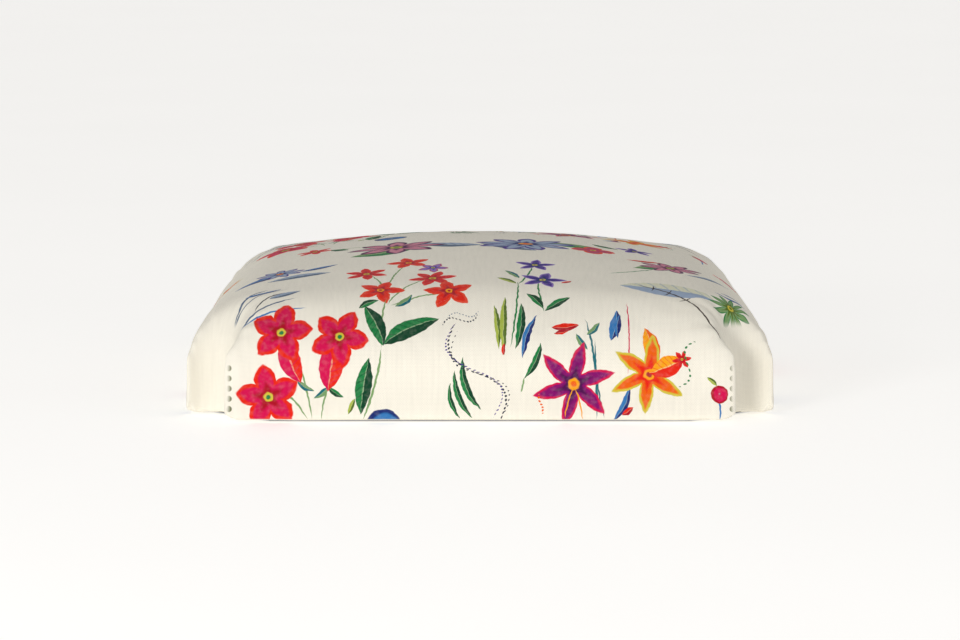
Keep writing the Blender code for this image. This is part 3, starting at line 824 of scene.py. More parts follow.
# %% Kinds of leaf
DARK_LEAF, TEAL_LEAF = leaf("dark_leaf", PINE, GREEN), leaf("teal_leaf", TEAL, SAGE)
PALE_LEAF, BLADE = leaf("pale_leaf", MOSS, LIME, False), leaf("blade", PINE, GREEN, False)
RED_LEAF = leaf("red_leaf", CRIMSON, SCARLET, False)
BLUE_LEAF = leaf("blue_leaf", NAVY, SKY, False)
MIST_LEAF, GOLD_LEAF = leaf("mist_leaf", SLATE, MIST), leaf("gold_leaf", ORANGE, AMBER)
TRUMPET, PINK_TRUMPET = leaf("trumpet", SCARLET, AMBER), leaf("pink_trumpet", MAGENTA, SCARLET)
BROAD_LEAF, STRAW_LEAF = leaf("broad_leaf", GREEN, SAGE), leaf("straw_leaf", MIST, STRAW)
print("stamps:", len(bpy.data.node_groups))


# %% [markdown]
# ### The print table
#
# The printer's table holds the cloth so far, and each call stamps one motif on it. A flower
# is given by its middle, and a leaf or stem by its two ends, as it is drawn. A motif that
# runs over the edge of the repeat is stamped again on the other side.


# %% The print table
class PrintTable:
    """One material's nodes while motifs are printed on them."""

    def __init__(self, tree, cloth, ground, repeats=True):
        self.tree, self.cloth, self.ground, self.count = tree, cloth, ground, 0
        self.repeats = repeats

    def stamp(self, group, x, y, turn, size, **values):
        if not self.repeats:
            self.press(group, (x, y), turn, size, values)
            return
        reach = max(size) * 1.05
        for step in [(across, along) for across in (-1, 0, 1) for along in (-1, 0, 1)]:
            place = (x + step[0] * REPEAT[0], y + step[1] * REPEAT[1])
            if abs(place[0]) < REPEAT[0] / 2 + reach and -reach < place[1] < REPEAT[1] + reach:
                self.press(group, place, turn, size, values)

    def press(self, group, place, turn, size, values):
        node = self.tree.nodes.new("ShaderNodeGroup")
        node.node_tree = group
        node.location = (200 * (self.count % 20), -300 * (self.count // 20))
        way = Vector((math.cos(turn), math.sin(turn), 0.0)) * 1e3
        feed(self.tree, node.inputs["Ground"], self.ground)
        self.tree.links.new(self.cloth, node.inputs["Cloth"])
        node.inputs["Place"].default_value = (place[0] / 1e3, place[1] / 1e3, 0.0)
        node.inputs["Across"].default_value = way / size[0]
        node.inputs["Along"].default_value = (-way.y / size[1], way.x / size[1], 0.0)
        for label, value in values.items():
            node.inputs[label].default_value = value
        self.ground = node.outputs[0]
        self.count += 1

    def flower(self, kind, x, y, size, turn=0.0, squash=1.0):
        self.stamp(kind, x, y, math.radians(turn), (size, size * squash))

    def line(self, group, start, end, wide, bend, **values):
        way = Vector(end) - Vector(start)
        middle = (Vector(end) + Vector(start)) / 2
        self.stamp(group, *middle, math.atan2(way.y, way.x), (way.length / 2, wide),
                   Bend=bend / wide, **values)

    def leaf(self, kind, x, y, to_x, to_y, wide, bend=0.0):
        self.line(kind, (x, y), (to_x, to_y), wide, bend)

    def stem(self, x, y, to_x, to_y, colour, bend=0.0, wide=0.8):
        self.line(STEM, (x, y), (to_x, to_y), wide, bend, Ink=colour)

    def dots(self, x, y, length, turn, count, colour, wave=0.0, size=0.12):
        self.stamp(DOTS, x, y, math.radians(turn), (length, length), Count=float(count),
                   Wave=wave, Dot=size, Ink=colour)


# %% [markdown]
# ### The front of the cloth
#
# Star flowers on pale stems stand on the left, dark leaves and a dotted sprig in the middle,
# and two lilies on the right, with a row of beads down each edge.


# %% Print the front
def print_front(cloth):
    """Motifs of the lowest 90 mm of the cloth, which hang over the front edge."""
    # Star flowers with their stems and sepals.
    cloth.stem(-118, 0, -137, 62, SAGE, 3)
    cloth.stem(-112, 0, -98, 40, SAGE, -3)
    cloth.stem(-121, 0, -150, 26, SAGE, 4)
    cloth.leaf(TEAL_LEAF, -129, 29, -117, 21, 2.2, 1)
    cloth.leaf(TEAL_LEAF, -129, 29, -138, 20, 2.0, -1)
    cloth.leaf(BLADE, -107, 24, -96, 17, 2.2, 1)
    cloth.leaf(TEAL_LEAF, -107, 24, -117, 16, 2.2, -1)
    cloth.leaf(PINK_TRUMPET, -138, 60, -126, 27, 8.0, 2)
    cloth.leaf(PINK_TRUMPET, -100, 58, -107, 21, 9.0, 1)
    cloth.flower(STAR, -140, 63, 24, 80, 0.96)
    cloth.flower(STAR, -99, 59, 23, 62, 0.95)
    cloth.flower(STAR, -149, 17, 24, 100)
    # Big leaves and their stem.
    cloth.stem(-83, 0, -69, 52, SAGE, 2, 1.0)
    cloth.stem(-69, 50, -66, 92, SAGE, -2)
    cloth.leaf(DARK_LEAF, -68, 53, -29, 73, 7.5, -3)
    cloth.leaf(DARK_LEAF, -68, 52, -82, 84, 6.0, 2)
    cloth.leaf(DARK_LEAF, -84, 5, -78, 44, 6.0, -1)
    cloth.leaf(PALE_LEAF, -93, 5, -88, 16, 2.0)
    cloth.flower(DOME, -68, -4, 13)
    # Blades and the dotted sprig.
    cloth.leaf(BLADE, -14, 2, -21, 27, 1.8, -3)
    cloth.leaf(BLADE, -5, 2, -18, 36, 2.3, -4)
    cloth.leaf(BLADE, 1, 8, -12, 45, 2.8, -5)
    cloth.dots(-2, 34, 38, 112, 15, SOOT, 0.34, 0.15)
    cloth.dots(-4, 36, 36, 108, 17, VIOLET, 0.40, 0.11)
    cloth.dots(0, 33, 34, 114, 11, SOOT, 0.40, 0.05)
    cloth.dots(-14, 72, 13, 20, 6, SOOT, -0.3, 0.15)
    cloth.dots(-12, 76, 11, 16, 6, SLATE, -0.3, 0.10)
    # Bulb leaves with a bud.
    cloth.leaf(PALE_LEAF, 13, 50, 10, 84, 2.2, 1)
    cloth.leaf(PALE_LEAF, 17, 46, 18, 92, 2.6, -1)
    cloth.leaf(BLADE, 25, 50, 29, 86, 3.0, 2)
    cloth.stem(21, 50, 27, 118, GREEN, 2)
    cloth.leaf(RED_LEAF, 16, 46, 17, 54, 1.4)
    # Loose leaves.
    cloth.leaf(BLUE_LEAF, 30, 44, 40, 75, 2.6, -2)
    cloth.leaf(BLADE, 31, 30, 43, 55, 2.6, 2)
    cloth.stem(31, 31, 29, 20, SAGE)
    # Purple lily with its stem, bud and pollen.
    cloth.stem(82, 0, 74, 74, TEAL, 3, 1.0)
    cloth.stem(88, 0, 81, 58, TEAL, -2, 0.7)
    cloth.leaf(TEAL_LEAF, 75, 60, 84, 70, 2.2, 1)
    cloth.leaf(TEAL_LEAF, 76, 50, 68, 61, 2.2, -1)
    cloth.leaf(RED_LEAF, 50, 66, 70, 68, 3.2, 1)
    cloth.leaf(RED_LEAF, 62, 63, 52, 61, 1.6)
    cloth.flower(LILY, 66, 26, 31, 84, 1.0)
    cloth.stem(66, 24, 60, 2, AMBER, 1, 0.6)
    cloth.stem(67, 24, 72, 0, AMBER, -1, 0.6)
    cloth.dots(43, 12, 7, 100, 3, ORANGE, 0.1, 0.16)
    # Blue tuft and fine line.
    cloth.leaf(BLUE_LEAF, 92, 56, 97, 79, 4.2, 1)
    cloth.leaf(BLUE_LEAF, 97, 58, 99, 76, 2.2, -1)
    cloth.stem(104, 32, 104, 88, MAGENTA, 1, 0.6)
    cloth.leaf(BLUE_LEAF, 93, 0, 105, 25, 2.8, 3)
    # Golden lily with its trumpet and seeds.
    cloth.leaf(GOLD_LEAF, 122, 36, 116, 66, 6.0, 2)
    cloth.flower(GOLD_LILY, 119, 33, 30, 20, 0.95)
    cloth.leaf(TRUMPET, 119, 34, 144, 44, 7.5, 1)
    cloth.flower(RUBY, 142, 43, 7, 10)
    cloth.leaf(RED_LEAF, 100, 4, 108, 10, 2.4)
    cloth.dots(146, 40, 17, 68, 5, GREEN, 0.3, 0.10)
    # Berry.
    cloth.stem(169, 0, 168, 16, SKY, 1)
    cloth.flower(BERRY, 168.5, 19, 6.5)
    cloth.leaf(PALE_LEAF, 167, 25, 160, 31, 1.6)


# %% Print what doesn't repeat
def print_edges(cloth):
    """Beads down each edge of the front and a rosette by a leg, which don't repeat."""
    cloth.leaf(GOLD_LEAF, 190, 82, 204, 98, 7.0, 1)
    cloth.flower(ROSETTE, 179, 104, 17, 20)
    cloth.dots(-177, 23, 18, 90, 2.5, BEAD, 0.0, 0.14)
    cloth.dots(178, 23, 18, 90, 2.5, BEAD, 0.0, 0.14)


# %% Print the top
def print_top(cloth):
    """Motifs of the next 210 mm, which lie over the rolled edge and the crown."""
    # Red bouquet.
    cloth.stem(-66, 84, -80, 142, SAGE, 3)
    cloth.stem(-66, 84, -53, 166, SAGE, -4)
    cloth.stem(-64, 84, -24, 96, SAGE, -3)
    cloth.stem(-66, 84, -36, 124, SAGE, -3)
    cloth.leaf(TEAL_LEAF, -60, 84, -48, 96, 2.8, 1)
    cloth.leaf(BLADE, -72, 90, -86, 82, 2.8, 1)
    cloth.flower(RED_STAR, -52, 170, 17, 30)
    cloth.flower(LILAC_STAR, -34, 152, 12, 60)
    cloth.flower(RUBY, -82, 144, 17, 95)
    cloth.flower(RUBY, -34, 125, 18, 10)
    cloth.flower(RED_STAR, -71, 103, 18, 70)
    cloth.flower(RED_STAR, -22, 99, 19, 100)
    # Violets.
    cloth.stem(27, 110, 38, 156, GREEN, 2)
    cloth.stem(46, 78, 42, 118, GREEN, -2)
    cloth.leaf(BLADE, 46, 80, 64, 92, 3.2, -1)
    cloth.leaf(BLADE, 45, 82, 33, 96, 3.0, 1)
    cloth.leaf(PALE_LEAF, 26, 112, 12, 124, 2.6, 1)
    cloth.leaf(TEAL_LEAF, 28, 124, 18, 142, 2.6, 1)
    cloth.flower(VIOLET_STAR, 40, 160, 16, 15)
    cloth.flower(VIOLET_STAR, 45, 122, 18, 80)
    cloth.leaf(RED_LEAF, 58, 116, 66, 122, 2.0)
    # Twig over a pale leaf.
    cloth.leaf(STRAW_LEAF, 100, 118, 168, 104, 16.0, -3)
    cloth.stem(104, 124, 172, 54, BROWN, -10, 0.9)
    cloth.stem(122, 107, 124, 120, BROWN, 1, 0.6)
    cloth.stem(131, 99, 137, 112, BROWN, 1, 0.6)
    cloth.stem(141, 91, 150, 99, BROWN, 1, 0.6)
    # Blue strokes on the right shoulder.
    cloth.leaf(BLUE_LEAF, 168, 128, 192, 120, 2.4, 2)
    cloth.leaf(BLUE_LEAF, 174, 136, 190, 130, 1.8, 1)
    # Line sprays on the left shoulder.
    cloth.stem(-183, 48, -128, 96, SLATE, -9, 1.0)
    cloth.stem(-186, 62, -136, 116, SLATE, -10, 1.0)
    cloth.stem(-172, 70, -122, 82, SKY, -3, 0.9)
    cloth.stem(-160, 82, -138, 108, SOOT, -4, 0.8)
    cloth.stem(-176, 84, -150, 122, SLATE, -5, 0.9)
    cloth.leaf(MIST_LEAF, -150, 96, -128, 108, 3.6, -1)
    cloth.leaf(BLUE_LEAF, -168, 108, -142, 118, 2.4, 2)
    cloth.leaf(RED_LEAF, -158, 76, -146, 64, 2.4, 1)
    # Far motifs.
    cloth.stem(-176, 150, -116, 172, SKY, -5, 0.8)
    cloth.leaf(BLUE_LEAF, -178, 152, -138, 176, 5.0, 2)
    cloth.leaf(MIST_LEAF, -154, 148, -108, 158, 6.0, -2)
    cloth.leaf(BLUE_LEAF, -132, 172, -104, 184, 3.0, 2)
    cloth.flower(DAISY, -146, 174, 19, 10, 0.8)
    cloth.leaf(BROAD_LEAF, -96, 208, -48, 222, 9.0, 2)
    cloth.leaf(MIST_LEAF, -50, 240, 2, 226, 9.0, 3)
    cloth.flower(PINK_DAISY, -62, 232, 38, 0, 0.7)
    cloth.leaf(MIST_LEAF, 0, 232, 42, 208, 9.0, -2)
    cloth.leaf(BROAD_LEAF, 44, 246, 92, 240, 8.0, 2)
    cloth.flower(DAISY, 34, 236, 40, 10, 0.7)
    cloth.flower(CUP, 84, 228, 17, 0)
    cloth.leaf(BROAD_LEAF, 112, 176, 150, 196, 7.0, -2)
    cloth.flower(PINK_DAISY, 140, 196, 26, 20, 0.75)
    cloth.leaf(RED_LEAF, 108, 206, 134, 214, 3.4, 1)
    cloth.stem(92, 148, 128, 182, GREEN, 4)
    cloth.leaf(MIST_LEAF, 150, 176, 186, 186, 4.0, 2)
    cloth.stem(-120, 262, -76, 250, SAGE, 4)
    cloth.flower(RUBY, -124, 262, 15, 40)
    cloth.leaf(DARK_LEAF, -112, 258, -98, 244, 4.0, 1)
    cloth.flower(VIOLET_STAR, 116, 256, 16, 30)
    cloth.leaf(DARK_LEAF, 104, 250, 84, 262, 4.0, -2)
    cloth.flower(CUP, 186, 240, 13, 10)
    cloth.flower(GOLD_LILY, -190, 232, 15, 40)


# %% [markdown]
# ### Weave and finish
#
# The ground is a plain-woven linen blend. Its threads are under a millimetre wide, with a
# thicker slub here and there, so up close the cloth has a fine grid, and from further off it
# looks slightly uneven. The inks sink into it and stay matt.


# %% The weave
def weave_group():
    """A plain weave. Gives its height, and painted shade: darker gaps, lighter thread tops."""
    group, given = new_group("plain_weave", [
        ("Cloth", "NodeSocketVector", None), ("Threads", "NodeSocketFloat", 1100.0),
        ("Slub", "NodeSocketFloat", 0.5)],
        [("Height", "NodeSocketFloat"), ("Shade", "NodeSocketFloat")])
    scaled = vectors(group, "SCALE", given["Cloth"])
    feed(group, scaled.node.inputs["Scale"], given["Threads"])
    x = vectors(group, "DOT_PRODUCT", scaled, (math.pi, 0, 0))
    y = vectors(group, "DOT_PRODUCT", scaled, (0, math.pi, 0))
    sine_x, sine_y = maths(group, "SINE", x), maths(group, "SINE", y)
    warp = maths(group, "ABSOLUTE", maths(group, "COSINE", x))
    weft = maths(group, "ABSOLUTE", maths(group, "COSINE", y))
    checks = maths(group, "MULTIPLY", sine_x, sine_y)
    checks = maths(group, "MULTIPLY_ADD", checks, 0.5, 0.5)
    threads = maths(group, "MULTIPLY", warp, weft)
    height = maths(group, "MULTIPLY_ADD", checks, 0.5, threads)
    slub = group.nodes.new("ShaderNodeTexNoise")
    slub.inputs["Scale"].default_value = 1.0
    slub.inputs["Detail"].default_value = 2.0
    stretched = vectors(group, "MULTIPLY", scaled, (0.35, 0.035, 1.0))
    group.links.new(stretched, slub.inputs["Vector"])
    thick = maths(group, "SUBTRACT", slub.outputs["Fac"], 0.5)
    thick = maths(group, "MULTIPLY", thick, given["Slub"])
    height = maths(group, "ADD", height, thick)
    # Shade is painted shade: darker in the gaps between threads, lighter on their tops.
    shade = between(group, height, 0.1, 1.3)
    return end_group(group, height, shade)


WEAVE = weave_group()
print("the weave gives:", [socket.name for socket in WEAVE.interface.items_tree][:2])


# %% Helpers for materials

def group_node(tree, group, **values):
    node = tree.nodes.new("ShaderNodeGroup")
    node.node_tree = group
    for label, value in values.items():
        feed(tree, node.inputs[label], value)
    return node.outputs


def coordinates(tree):
    return tree.nodes.new("ShaderNodeTexCoord").outputs["Object"]


def noisy(tree, vector, scale, detail=2.0):
    node = tree.nodes.new("ShaderNodeTexNoise")
    node.inputs["Scale"].default_value = scale
    node.inputs["Detail"].default_value = detail
    feed(tree, node.inputs["Vector"], vector)
    return node.outputs


def bumped(tree, height, strength, distance):
    node = tree.nodes.new("ShaderNodeBump")
    node.inputs["Strength"].default_value = strength
    node.inputs["Distance"].default_value = distance
    feed(tree, node.inputs["Height"], height)
    return node.outputs["Normal"]


def new_material(name):
    """A material with a Principled shader. Gives it, its tree and the shader's inputs."""
    made = bpy.data.materials.new(name)
    made.use_nodes = True
    return made, made.node_tree, made.node_tree.nodes["Principled BSDF"].inputs


# %% Printed linen
def printed_linen():
    material, tree, shader = new_material("printed_linen")
    flat = tree.nodes.new("ShaderNodeUVMap")
    flat.uv_map = "cloth"
    cloth = flat.outputs[0]
    # The print's outlines waver a little, as hand-cut screens make them.
    waver = noisy(tree, cloth, 210.0, 1.0)["Color"]
    split = tree.nodes.new("ShaderNodeSeparateColor")
    tree.links.new(waver, split.inputs[0])
    shift = tree.nodes.new("ShaderNodeCombineXYZ")
    for index in range(2):
        amount = maths(tree, "MULTIPLY_ADD", split.outputs[index], 0.0018, -0.0009)
        tree.links.new(amount, shift.inputs[index])
    drawn = vectors(tree, "ADD", cloth, shift.outputs[0])
    half = (REPEAT[0] / 2e3, REPEAT[1] / 1e3, 1.0)
    drawn = vectors(tree, "WRAP", drawn, half, (-half[0], 0.0, -1.0))
    table = PrintTable(tree, drawn, LINEN)
    print_top(table)
    print_front(table)
    edges = PrintTable(tree, cloth, table.ground, repeats=False)
    print_edges(edges)
    plain = tree.nodes.new("ShaderNodeAttribute")
    plain.attribute_name = "plain"
    colour = mixed(tree, plain.outputs["Fac"], edges.ground, LINEN)
    worn = noisy(tree, cloth, 260.0, 3.0)["Fac"]
    worn = between(tree, worn, 0.40, 0.80, 0.0, 0.07)
    colour = mixed(tree, worn, colour, LINEN)
    threads = tree.nodes.new("ShaderNodeUVMap")
    threads.uv_map = "threads"
    weave = group_node(tree, WEAVE, Cloth=threads.outputs[0], Threads=1150.0, Slub=0.7)
    # Painted shade and highlight of the weave: the print is darkened in the thread gaps and
    # lifted a little on the thread tops.
    thread_shade = between(tree, weave["Shade"], 0.0, 1.0, 0.86, 1.03)
    thread_shade_grey = tree.nodes.new("ShaderNodeCombineColor")
    for socket in thread_shade_grey.inputs[:3]:
        tree.links.new(thread_shade, socket)
    colour = mixed(tree, 1.0, colour, thread_shade_grey.outputs[0], "MULTIPLY")
    tree.links.new(colour, shader["Base Color"])
    rough = between(tree, weave["Shade"], 0.0, 1.0, 0.92, 0.80)
    tree.links.new(rough, shader["Roughness"])
    tree.links.new(bumped(tree, weave["Height"], 0.35, 0.0002), shader["Normal"])
    shader["Sheen Weight"].default_value = 0.05
    shader["Sheen Roughness"].default_value = 0.5
    shader["Specular IOR Level"].default_value = 0.2
    print("printed motifs:", table.count + edges.count)
    return material


form.data.materials.append(printed_linen())

# %% [markdown]
# ## The underside
#
# Underneath, black spun cloth closes the frame and keeps dust in. It is cut to the pad's
# outline with its corners off, its edge is folded under once, and it is stapled every few
# centimetres. It is one thin closed sheet here, and the staples are one joined piece of small
# flat wires.

# %% Outline of the dust cover
DUST_INSET, DUST_HEM = 0.009, 0.010
DUST_GRID = [-0.20 + 0.02 * step for step in range(21)]
DUST_LOW, DUST_HIGH = 0.0003, 0.0008
FROM_LEG = 0.005


def dust_corners(inset, from_leg):
    """Corners of the sheet, anticlockwise from the front right, two at each leg."""
    found = []
    for corner in ((1, -1), (1, 1), (-1, 1), (-1, -1)):
        axis, radius = notch_axis(corner), NOTCHES[corner][1]
        value = corner[0] * axis.x + corner[1] * axis.y - (radius + from_leg) * math.sqrt(2)
        edge_y = corner[1] * (DEPTH / 2 - inset)
        on_end = (corner[0] * (value - corner[1] * edge_y), edge_y)
        edge_y = value - half_width(NOTCH_Y[corner[1]]) + inset
        on_side = (corner[0] * (half_width(edge_y * corner[1]) - inset), corner[1] * edge_y)
        pair = [on_end, on_side]
        found += pair if corner[0] * corner[1] < 0 else pair[::-1]
    return [Vector(point) for point in found]


def flat_area(corners):
    area = sum(a.x * b.y - b.x * a.y for a, b in zip(corners, corners[1:] + corners[:1]))
    return abs(area) / 2


print("dust cover: %.4f m2 of cloth" % flat_area(dust_corners(DUST_INSET, FROM_LEG)))


# %% The sheet
def dust_sheet():
    """A stretched sheet with a folded edge: a plate, inset once and dimpled between staples."""
    outline = dust_corners(DUST_INSET, FROM_LEG)
    shape = bmesh.new()
    verts = [shape.verts.new((*point, DUST_LOW)) for point in outline]
    plate = shape.faces.new(verts)
    plate.normal_update()
    bmesh.ops.inset_region(shape, faces=[plate], thickness=DUST_HEM, use_even_offset=True)
    bmesh.ops.inset_region(shape, faces=[plate], thickness=0.0006, use_even_offset=True)
    for value in DUST_GRID:
        for axis in (Vector((1, 0, 0)), Vector((0, 1, 0))):
            everything = list(shape.verts) + list(shape.edges) + list(shape.faces)
            bmesh.ops.bisect_plane(shape, geom=everything, plane_co=axis * value,
                                   plane_no=axis, dist=1e-5)
    for vert in shape.verts:
        place = Vector((vert.co.x, vert.co.y))
        inset = min(half_width(place.y) - abs(place.x), DEPTH / 2 - abs(place.y)) - DUST_INSET
        if inset > DUST_HEM + 0.0004:
            slack = min(1.0, (inset - DUST_HEM) / 0.03)
            dimple = 0.00012 * noise.noise(Vector((*place, 0)) / 0.05) * slack
            vert.co.z = DUST_LOW + 0.00015 + dimple
    made = finish_mesh("dust_sheet", shape)
    thick = made.modifiers.new("thickness", "SOLIDIFY")
    thick.thickness = DUST_HIGH - DUST_LOW - 0.0003
    thick.offset = -1.0
    apply_modifiers(made)
    shape = bmesh.new()
    shape.from_mesh(made.data)
    bmesh.ops.remove_doubles(shape, verts=shape.verts, dist=1e-6)
    bmesh.ops.recalc_face_normals(shape, faces=shape.faces)
    shape.to_mesh(made.data)
    shape.free()
    print("dust cover:", len(made.data.polygons), "faces, from z %.2f to %.2f mm" % (
        places_of(made)[:, 2].min() * 1e3, places_of(made)[:, 2].max() * 1e3))
    return made, outline


# %% Black spun cloth
def spun_cloth():
    """Black spun-bonded cloth: tiny pressed dots and loose fibres."""
    material, tree, shader = new_material("black_spun_cloth")
    place = coordinates(tree)
    fibres = noisy(tree, vectors(tree, "MULTIPLY", place, (900.0, 160.0, 900.0)), 1.0, 4.0)["Fac"]
    cloud = noisy(tree, place, 60.0, 3.0)["Fac"]
    weave = group_node(tree, WEAVE, Cloth=place, Threads=620.0, Slub=0.2)
    shade = maths(tree, "MULTIPLY_ADD", cloud, 0.4, fibres)
    colour = mixed(tree, between(tree, shade, 0.4, 1.0), (0.012, 0.012, 0.014, 1),
                   (0.055, 0.055, 0.060, 1))
    tree.links.new(colour, shader["Base Color"])
    tree.links.new(between(tree, fibres, 0.3, 0.7, 0.78, 0.95), shader["Roughness"])
    height = maths(tree, "MULTIPLY_ADD", weave["Height"], 0.5, fibres)
    tree.links.new(bumped(tree, height, 0.4, 0.0002), shader["Normal"])
    return material


dust, dust_outline = dust_sheet()
dust.data.materials.append(spun_cloth())
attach(dust, "root")
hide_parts("dust_cover")

# %% One staple
STAPLE_CROWN, STAPLE_WIDE, STAPLE_THICK = 0.010, 0.0012, 0.0005


def staple_into(shape, middle, way):
    """Add one flat staple crown: a small bevelled bar."""
    found = bmesh.ops.create_cube(shape, size=1.0)
    verts = found["verts"]
    bmesh.ops.scale(shape, vec=(STAPLE_CROWN, STAPLE_WIDE, STAPLE_THICK), verts=verts)
    edges = list({edge for vert in verts for edge in vert.link_edges})
    made = bmesh.ops.bevel(shape, geom=edges, offset=0.00015, offset_type="OFFSET",
                           affect="EDGES", segments=1, profile=0.5, material=-1)
    verts = list({vert for face in made["faces"] for vert in face.verts} | {
        vert for vert in verts if vert.is_valid})
    turn = Matrix.Rotation(math.atan2(way.y, way.x), 4, "Z")
    move = Matrix.Translation((*middle, STAPLE_THICK / 2))
    bmesh.ops.transform(shape, matrix=move @ turn, verts=verts)


# %% Zinc-plated wire
def zinc_wire():
    """Zinc-plated steel with a little streaking."""
    material, tree, shader = new_material("zinc_plated_steel")
    place = coordinates(tree)
    streaks = noisy(tree, place, 900.0, 3.0)["Fac"]
    colour = mixed(tree, between(tree, streaks, 0.3, 0.7), (0.46, 0.46, 0.45, 1),
                   (0.66, 0.66, 0.64, 1))
    tree.links.new(colour, shader["Base Color"])
    tree.links.new(between(tree, streaks, 0.3, 0.7, 0.45, 0.28), shader["Roughness"])
    tree.links.new(bumped(tree, streaks, 0.15, 0.0001), shader["Normal"])
    shader["Metallic"].default_value = 1.0
    return material


steel = zinc_wire()

# %% Staple all round
wires = bmesh.new()
staple_count = 0
for start, stop in zip(dust_outline, dust_outline[1:] + dust_outline[:1]):
    side = stop - start
    if side.length < 0.1:
        continue
    way = side.normalized()
    inwards = Vector((-way.y, way.x))
    number = round(side.length / STAPLE_PITCH)
    for index in range(number):
        middle = start + side * (index + 0.5) / number + inwards * DUST_HEM * 0.5
        tilt = math.radians(3.0) * math.sin(index * 2.4 + start.x * 40)
        turned_way = Matrix.Rotation(tilt, 2) @ way
        staple_into(wires, middle + inwards * 0.0006 * math.sin(index * 1.7), turned_way)
        staple_count += 1
staples = finish_mesh("dust_cover_staples", wires)
staples.data.materials.append(steel)
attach(staples, "root")
print("staples:", staple_count)

# %% [markdown]
# ## Finishes of the hidden frame
#
# The rails and blocks are planed beech, with grain along each rail. The straps are jute with
# faded red-brown streaks, the sheet over them is coarse hessian, and the screws and staples
# are zinc-plated. All these keep their modelled shapes.


# %% Beech
def grain_group():
    """Wood grain along X: long rings with fine pores. Gives a mask and a height."""
    group, given = new_group("wood_grain", [("Place", "NodeSocketVector", None)],
                             [("Mask", "NodeSocketFloat"), ("Height", "NodeSocketFloat")])
    stretched = vectors(group, "MULTIPLY", given["Place"], (3.0, 46.0, 60.0))
    waves = noisy(group, stretched, 1.0, 3.0)["Fac"]
    rings = maths(group, "MULTIPLY", waves, 9.0)
    rings = maths(group, "PINGPONG", rings, 0.5)
    fine = vectors(group, "MULTIPLY", given["Place"], (90.0, 1400.0, 1400.0))
    pores = noisy(group, fine, 1.0, 2.0)["Fac"]
    pores = between(group, pores, 0.60, 0.72)
    mask = maths(group, "MULTIPLY_ADD", pores, 0.5, rings)
    return end_group(group, mask, maths(group, "MULTIPLY", pores, -1.0))


GRAIN = grain_group()


def beech(name, turn):
    """Planed beech, its grain turned about Z."""
    material, tree, shader = new_material(name)
    mapping = tree.nodes.new("ShaderNodeMapping")
    mapping.inputs["Rotation"].default_value = (0, 0, turn)
    tree.links.new(coordinates(tree), mapping.inputs["Vector"])
    grain = group_node(tree, GRAIN, Place=mapping.outputs[0])
    colour = mixed(tree, between(tree, grain["Mask"], 0.0, 0.9), (0.60, 0.42, 0.25, 1),
                   (0.40, 0.25, 0.13, 1))
    tree.links.new(colour, shader["Base Color"])
    tree.links.new(between(tree, grain["Mask"], 0.0, 0.9, 0.48, 0.62), shader["Roughness"])
    tree.links.new(bumped(tree, grain["Height"], 0.25, 0.0002), shader["Normal"])
    return material


# %% Jute and hessian
def woven(name, threads, dark, light, streak=None):
    """A coarse woven stuff on object coordinates, with faded streaks if it is webbing."""
    material, tree, shader = new_material(name)
    place = coordinates(tree)
    weave = group_node(tree, WEAVE, Cloth=place, Threads=threads, Slub=0.9)
    fuzz = noisy(tree, place, 700.0, 3.0)["Fac"]
    # Painted shade of the weave, darker in the thread gaps, times random fuzz, which is the
    # fibres' own tone.
    shade = maths(tree, "MULTIPLY", weave["Shade"], fuzz)
    colour = mixed(tree, between(tree, shade, 0.05, 0.6), dark, light)
    if streak:
        lines = noisy(tree, vectors(tree, "MULTIPLY", place, (40.0, 40.0, 1.0)), 1.0, 1.0)["Fac"]
        colour = mixed(tree, between(tree, lines, 0.62, 0.68, 0.0, 0.5), colour, streak)
    tree.links.new(colour, shader["Base Color"])
    tree.links.new(between(tree, shade, 0.0, 0.6, 0.95, 0.82), shader["Roughness"])
    tree.links.new(bumped(tree, weave["Height"], 0.6, 0.0004), shader["Normal"])
    return material


# %% Put the finishes on
along_x, along_y = beech("beech_across", 0.0), beech("beech_lengthwise", math.pi / 2)
diagonal = {1: beech("beech_diagonal_left", math.pi / 4),
            -1: beech("beech_diagonal_right", -math.pi / 4)}
jute = woven("jute_webbing", 520.0, (0.20, 0.13, 0.07, 1), (0.56, 0.43, 0.26, 1),
             (0.30, 0.10, 0.06, 1))
sacking = woven("hessian", 380.0, (0.15, 0.10, 0.05, 1), (0.50, 0.38, 0.22, 1))


def finish_of(name):
    """The material for one piece of the frame, by its name."""
    if name.startswith("web_"):
        return jute
    if name.startswith(("screw_", "staple_")):
        return steel
    if name == "hessian":
        return sacking
    if name.startswith("corner_block_"):
        return diagonal[1 if name.endswith(("front_right", "rear_left")) else -1]
    if "side_rail" in name or (name.startswith("dowel_") and name.endswith("_end")):
        return along_y
    return along_x


finished = 0
for name in nodes:
    obj = bpy.data.objects.get(name)
    if obj is None or name in ("cover", "wadding", "foam_cushion", "dust_cover"):
        continue
    material = finish_of(name)
    for slot in obj.material_slots:
        slot.material = material
    finished += 1
print("frame pieces finished:", finished)

# %% [markdown]
# ## Floor, light and camera
#
# The pad stands on a pale floor under soft studio light. A large lamp to the front left makes
# the front bright and lets the far side of the crown fall into a gentle shade. The plain
# Standard view keeps the inks as strong as they are mixed. The camera looks at the front from
# a seated height, far enough back to keep the shape true.

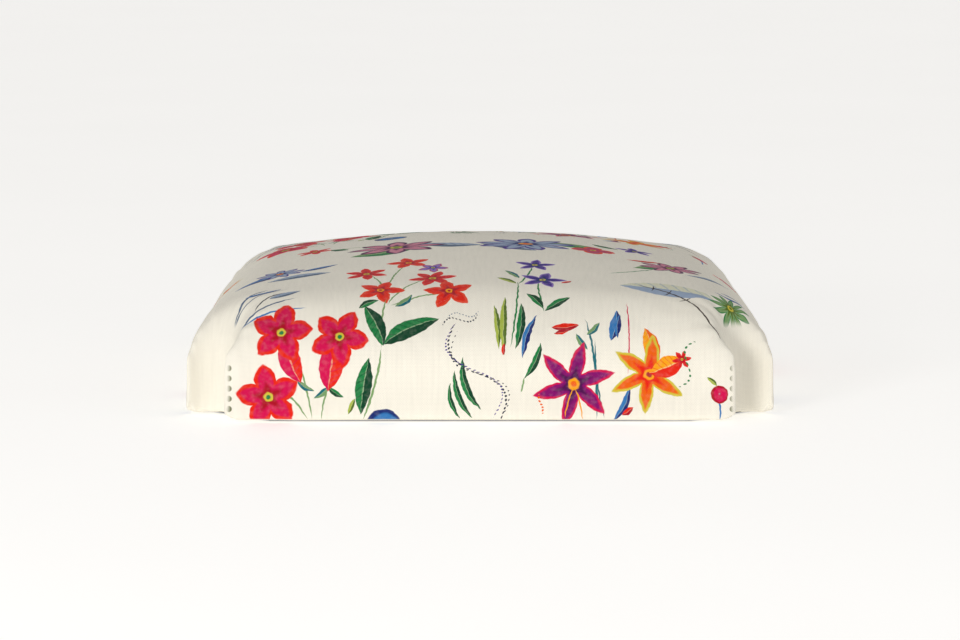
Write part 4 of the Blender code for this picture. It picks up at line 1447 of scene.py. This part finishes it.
# %% Floor and light
FLOOR_GAP = 0.0005
bpy.context.scene.view_settings.view_transform = "Standard"
floor_shape = bmesh.new()
bmesh.ops.create_grid(floor_shape, x_segments=1, y_segments=1, size=20)
bmesh.ops.translate(floor_shape, vec=(0, 0, -FLOOR_GAP), verts=floor_shape.verts)
floor = finish_mesh("floor", floor_shape)
floor_material, floor_tree, floor_shader = new_material("pale_floor")
mottle = noisy(floor_tree, coordinates(floor_tree), 3.0, 2.0)["Fac"]
pale = mixed(floor_tree, mottle, (0.84, 0.835, 0.82, 1), (0.88, 0.875, 0.86, 1))
floor_tree.links.new(pale, floor_shader["Base Color"])
floor_shader["Roughness"].default_value = 0.7
floor_shader["Emission Color"].default_value = (1.0, 0.99, 0.975, 1)
floor_shader["Emission Strength"].default_value = 0.42
floor.data.materials.append(floor_material)

world = bpy.data.worlds.new("studio")
bpy.context.scene.world = world
world.use_nodes = True
sky = world.node_tree.nodes["Background"]
sky.inputs["Color"].default_value = (1.0, 0.99, 0.975, 1)
sky.inputs["Strength"].default_value = 0.53


print("floor and sky are lit")


# %% Lamps
def area_light(name, place, target, size, power, colour=(1.0, 1.0, 1.0)):
    data = bpy.data.lights.new(name, "AREA")
    data.size = size
    data.energy = power
    data.color = colour
    lamp = bpy.data.objects.new(name, data)
    lamp.location = place
    way = Vector(target) - Vector(place)
    lamp.rotation_euler = way.to_track_quat("-Z", "Y").to_euler()
    bpy.context.scene.collection.objects.link(lamp)


MIDDLE = (0.0, 0.0, 0.05)
area_light("key", (-1.2, -2.7, 0.42), MIDDLE, 0.8, 36, (1.0, 0.99, 0.98))
area_light("fill", (2.2, -1.6, 0.8), MIDDLE, 1.6, 5)

# %% Camera
camera_data = bpy.data.cameras.new("camera")
camera_data.lens = 150
camera = bpy.data.objects.new("camera", camera_data)
bpy.context.scene.collection.objects.link(camera)
camera.location = (0.0, -3.0, 0.43)
aim = Vector((0.0, 0.0, 0.045)) - camera.location
camera.rotation_euler = aim.to_track_quat("-Z", "Y").to_euler()
bpy.context.scene.camera = camera
print("camera: %.0f mm lens, %.2f m away" % (camera_data.lens, camera.location.length))

# %% Update the scene
bpy.context.view_layer.update()
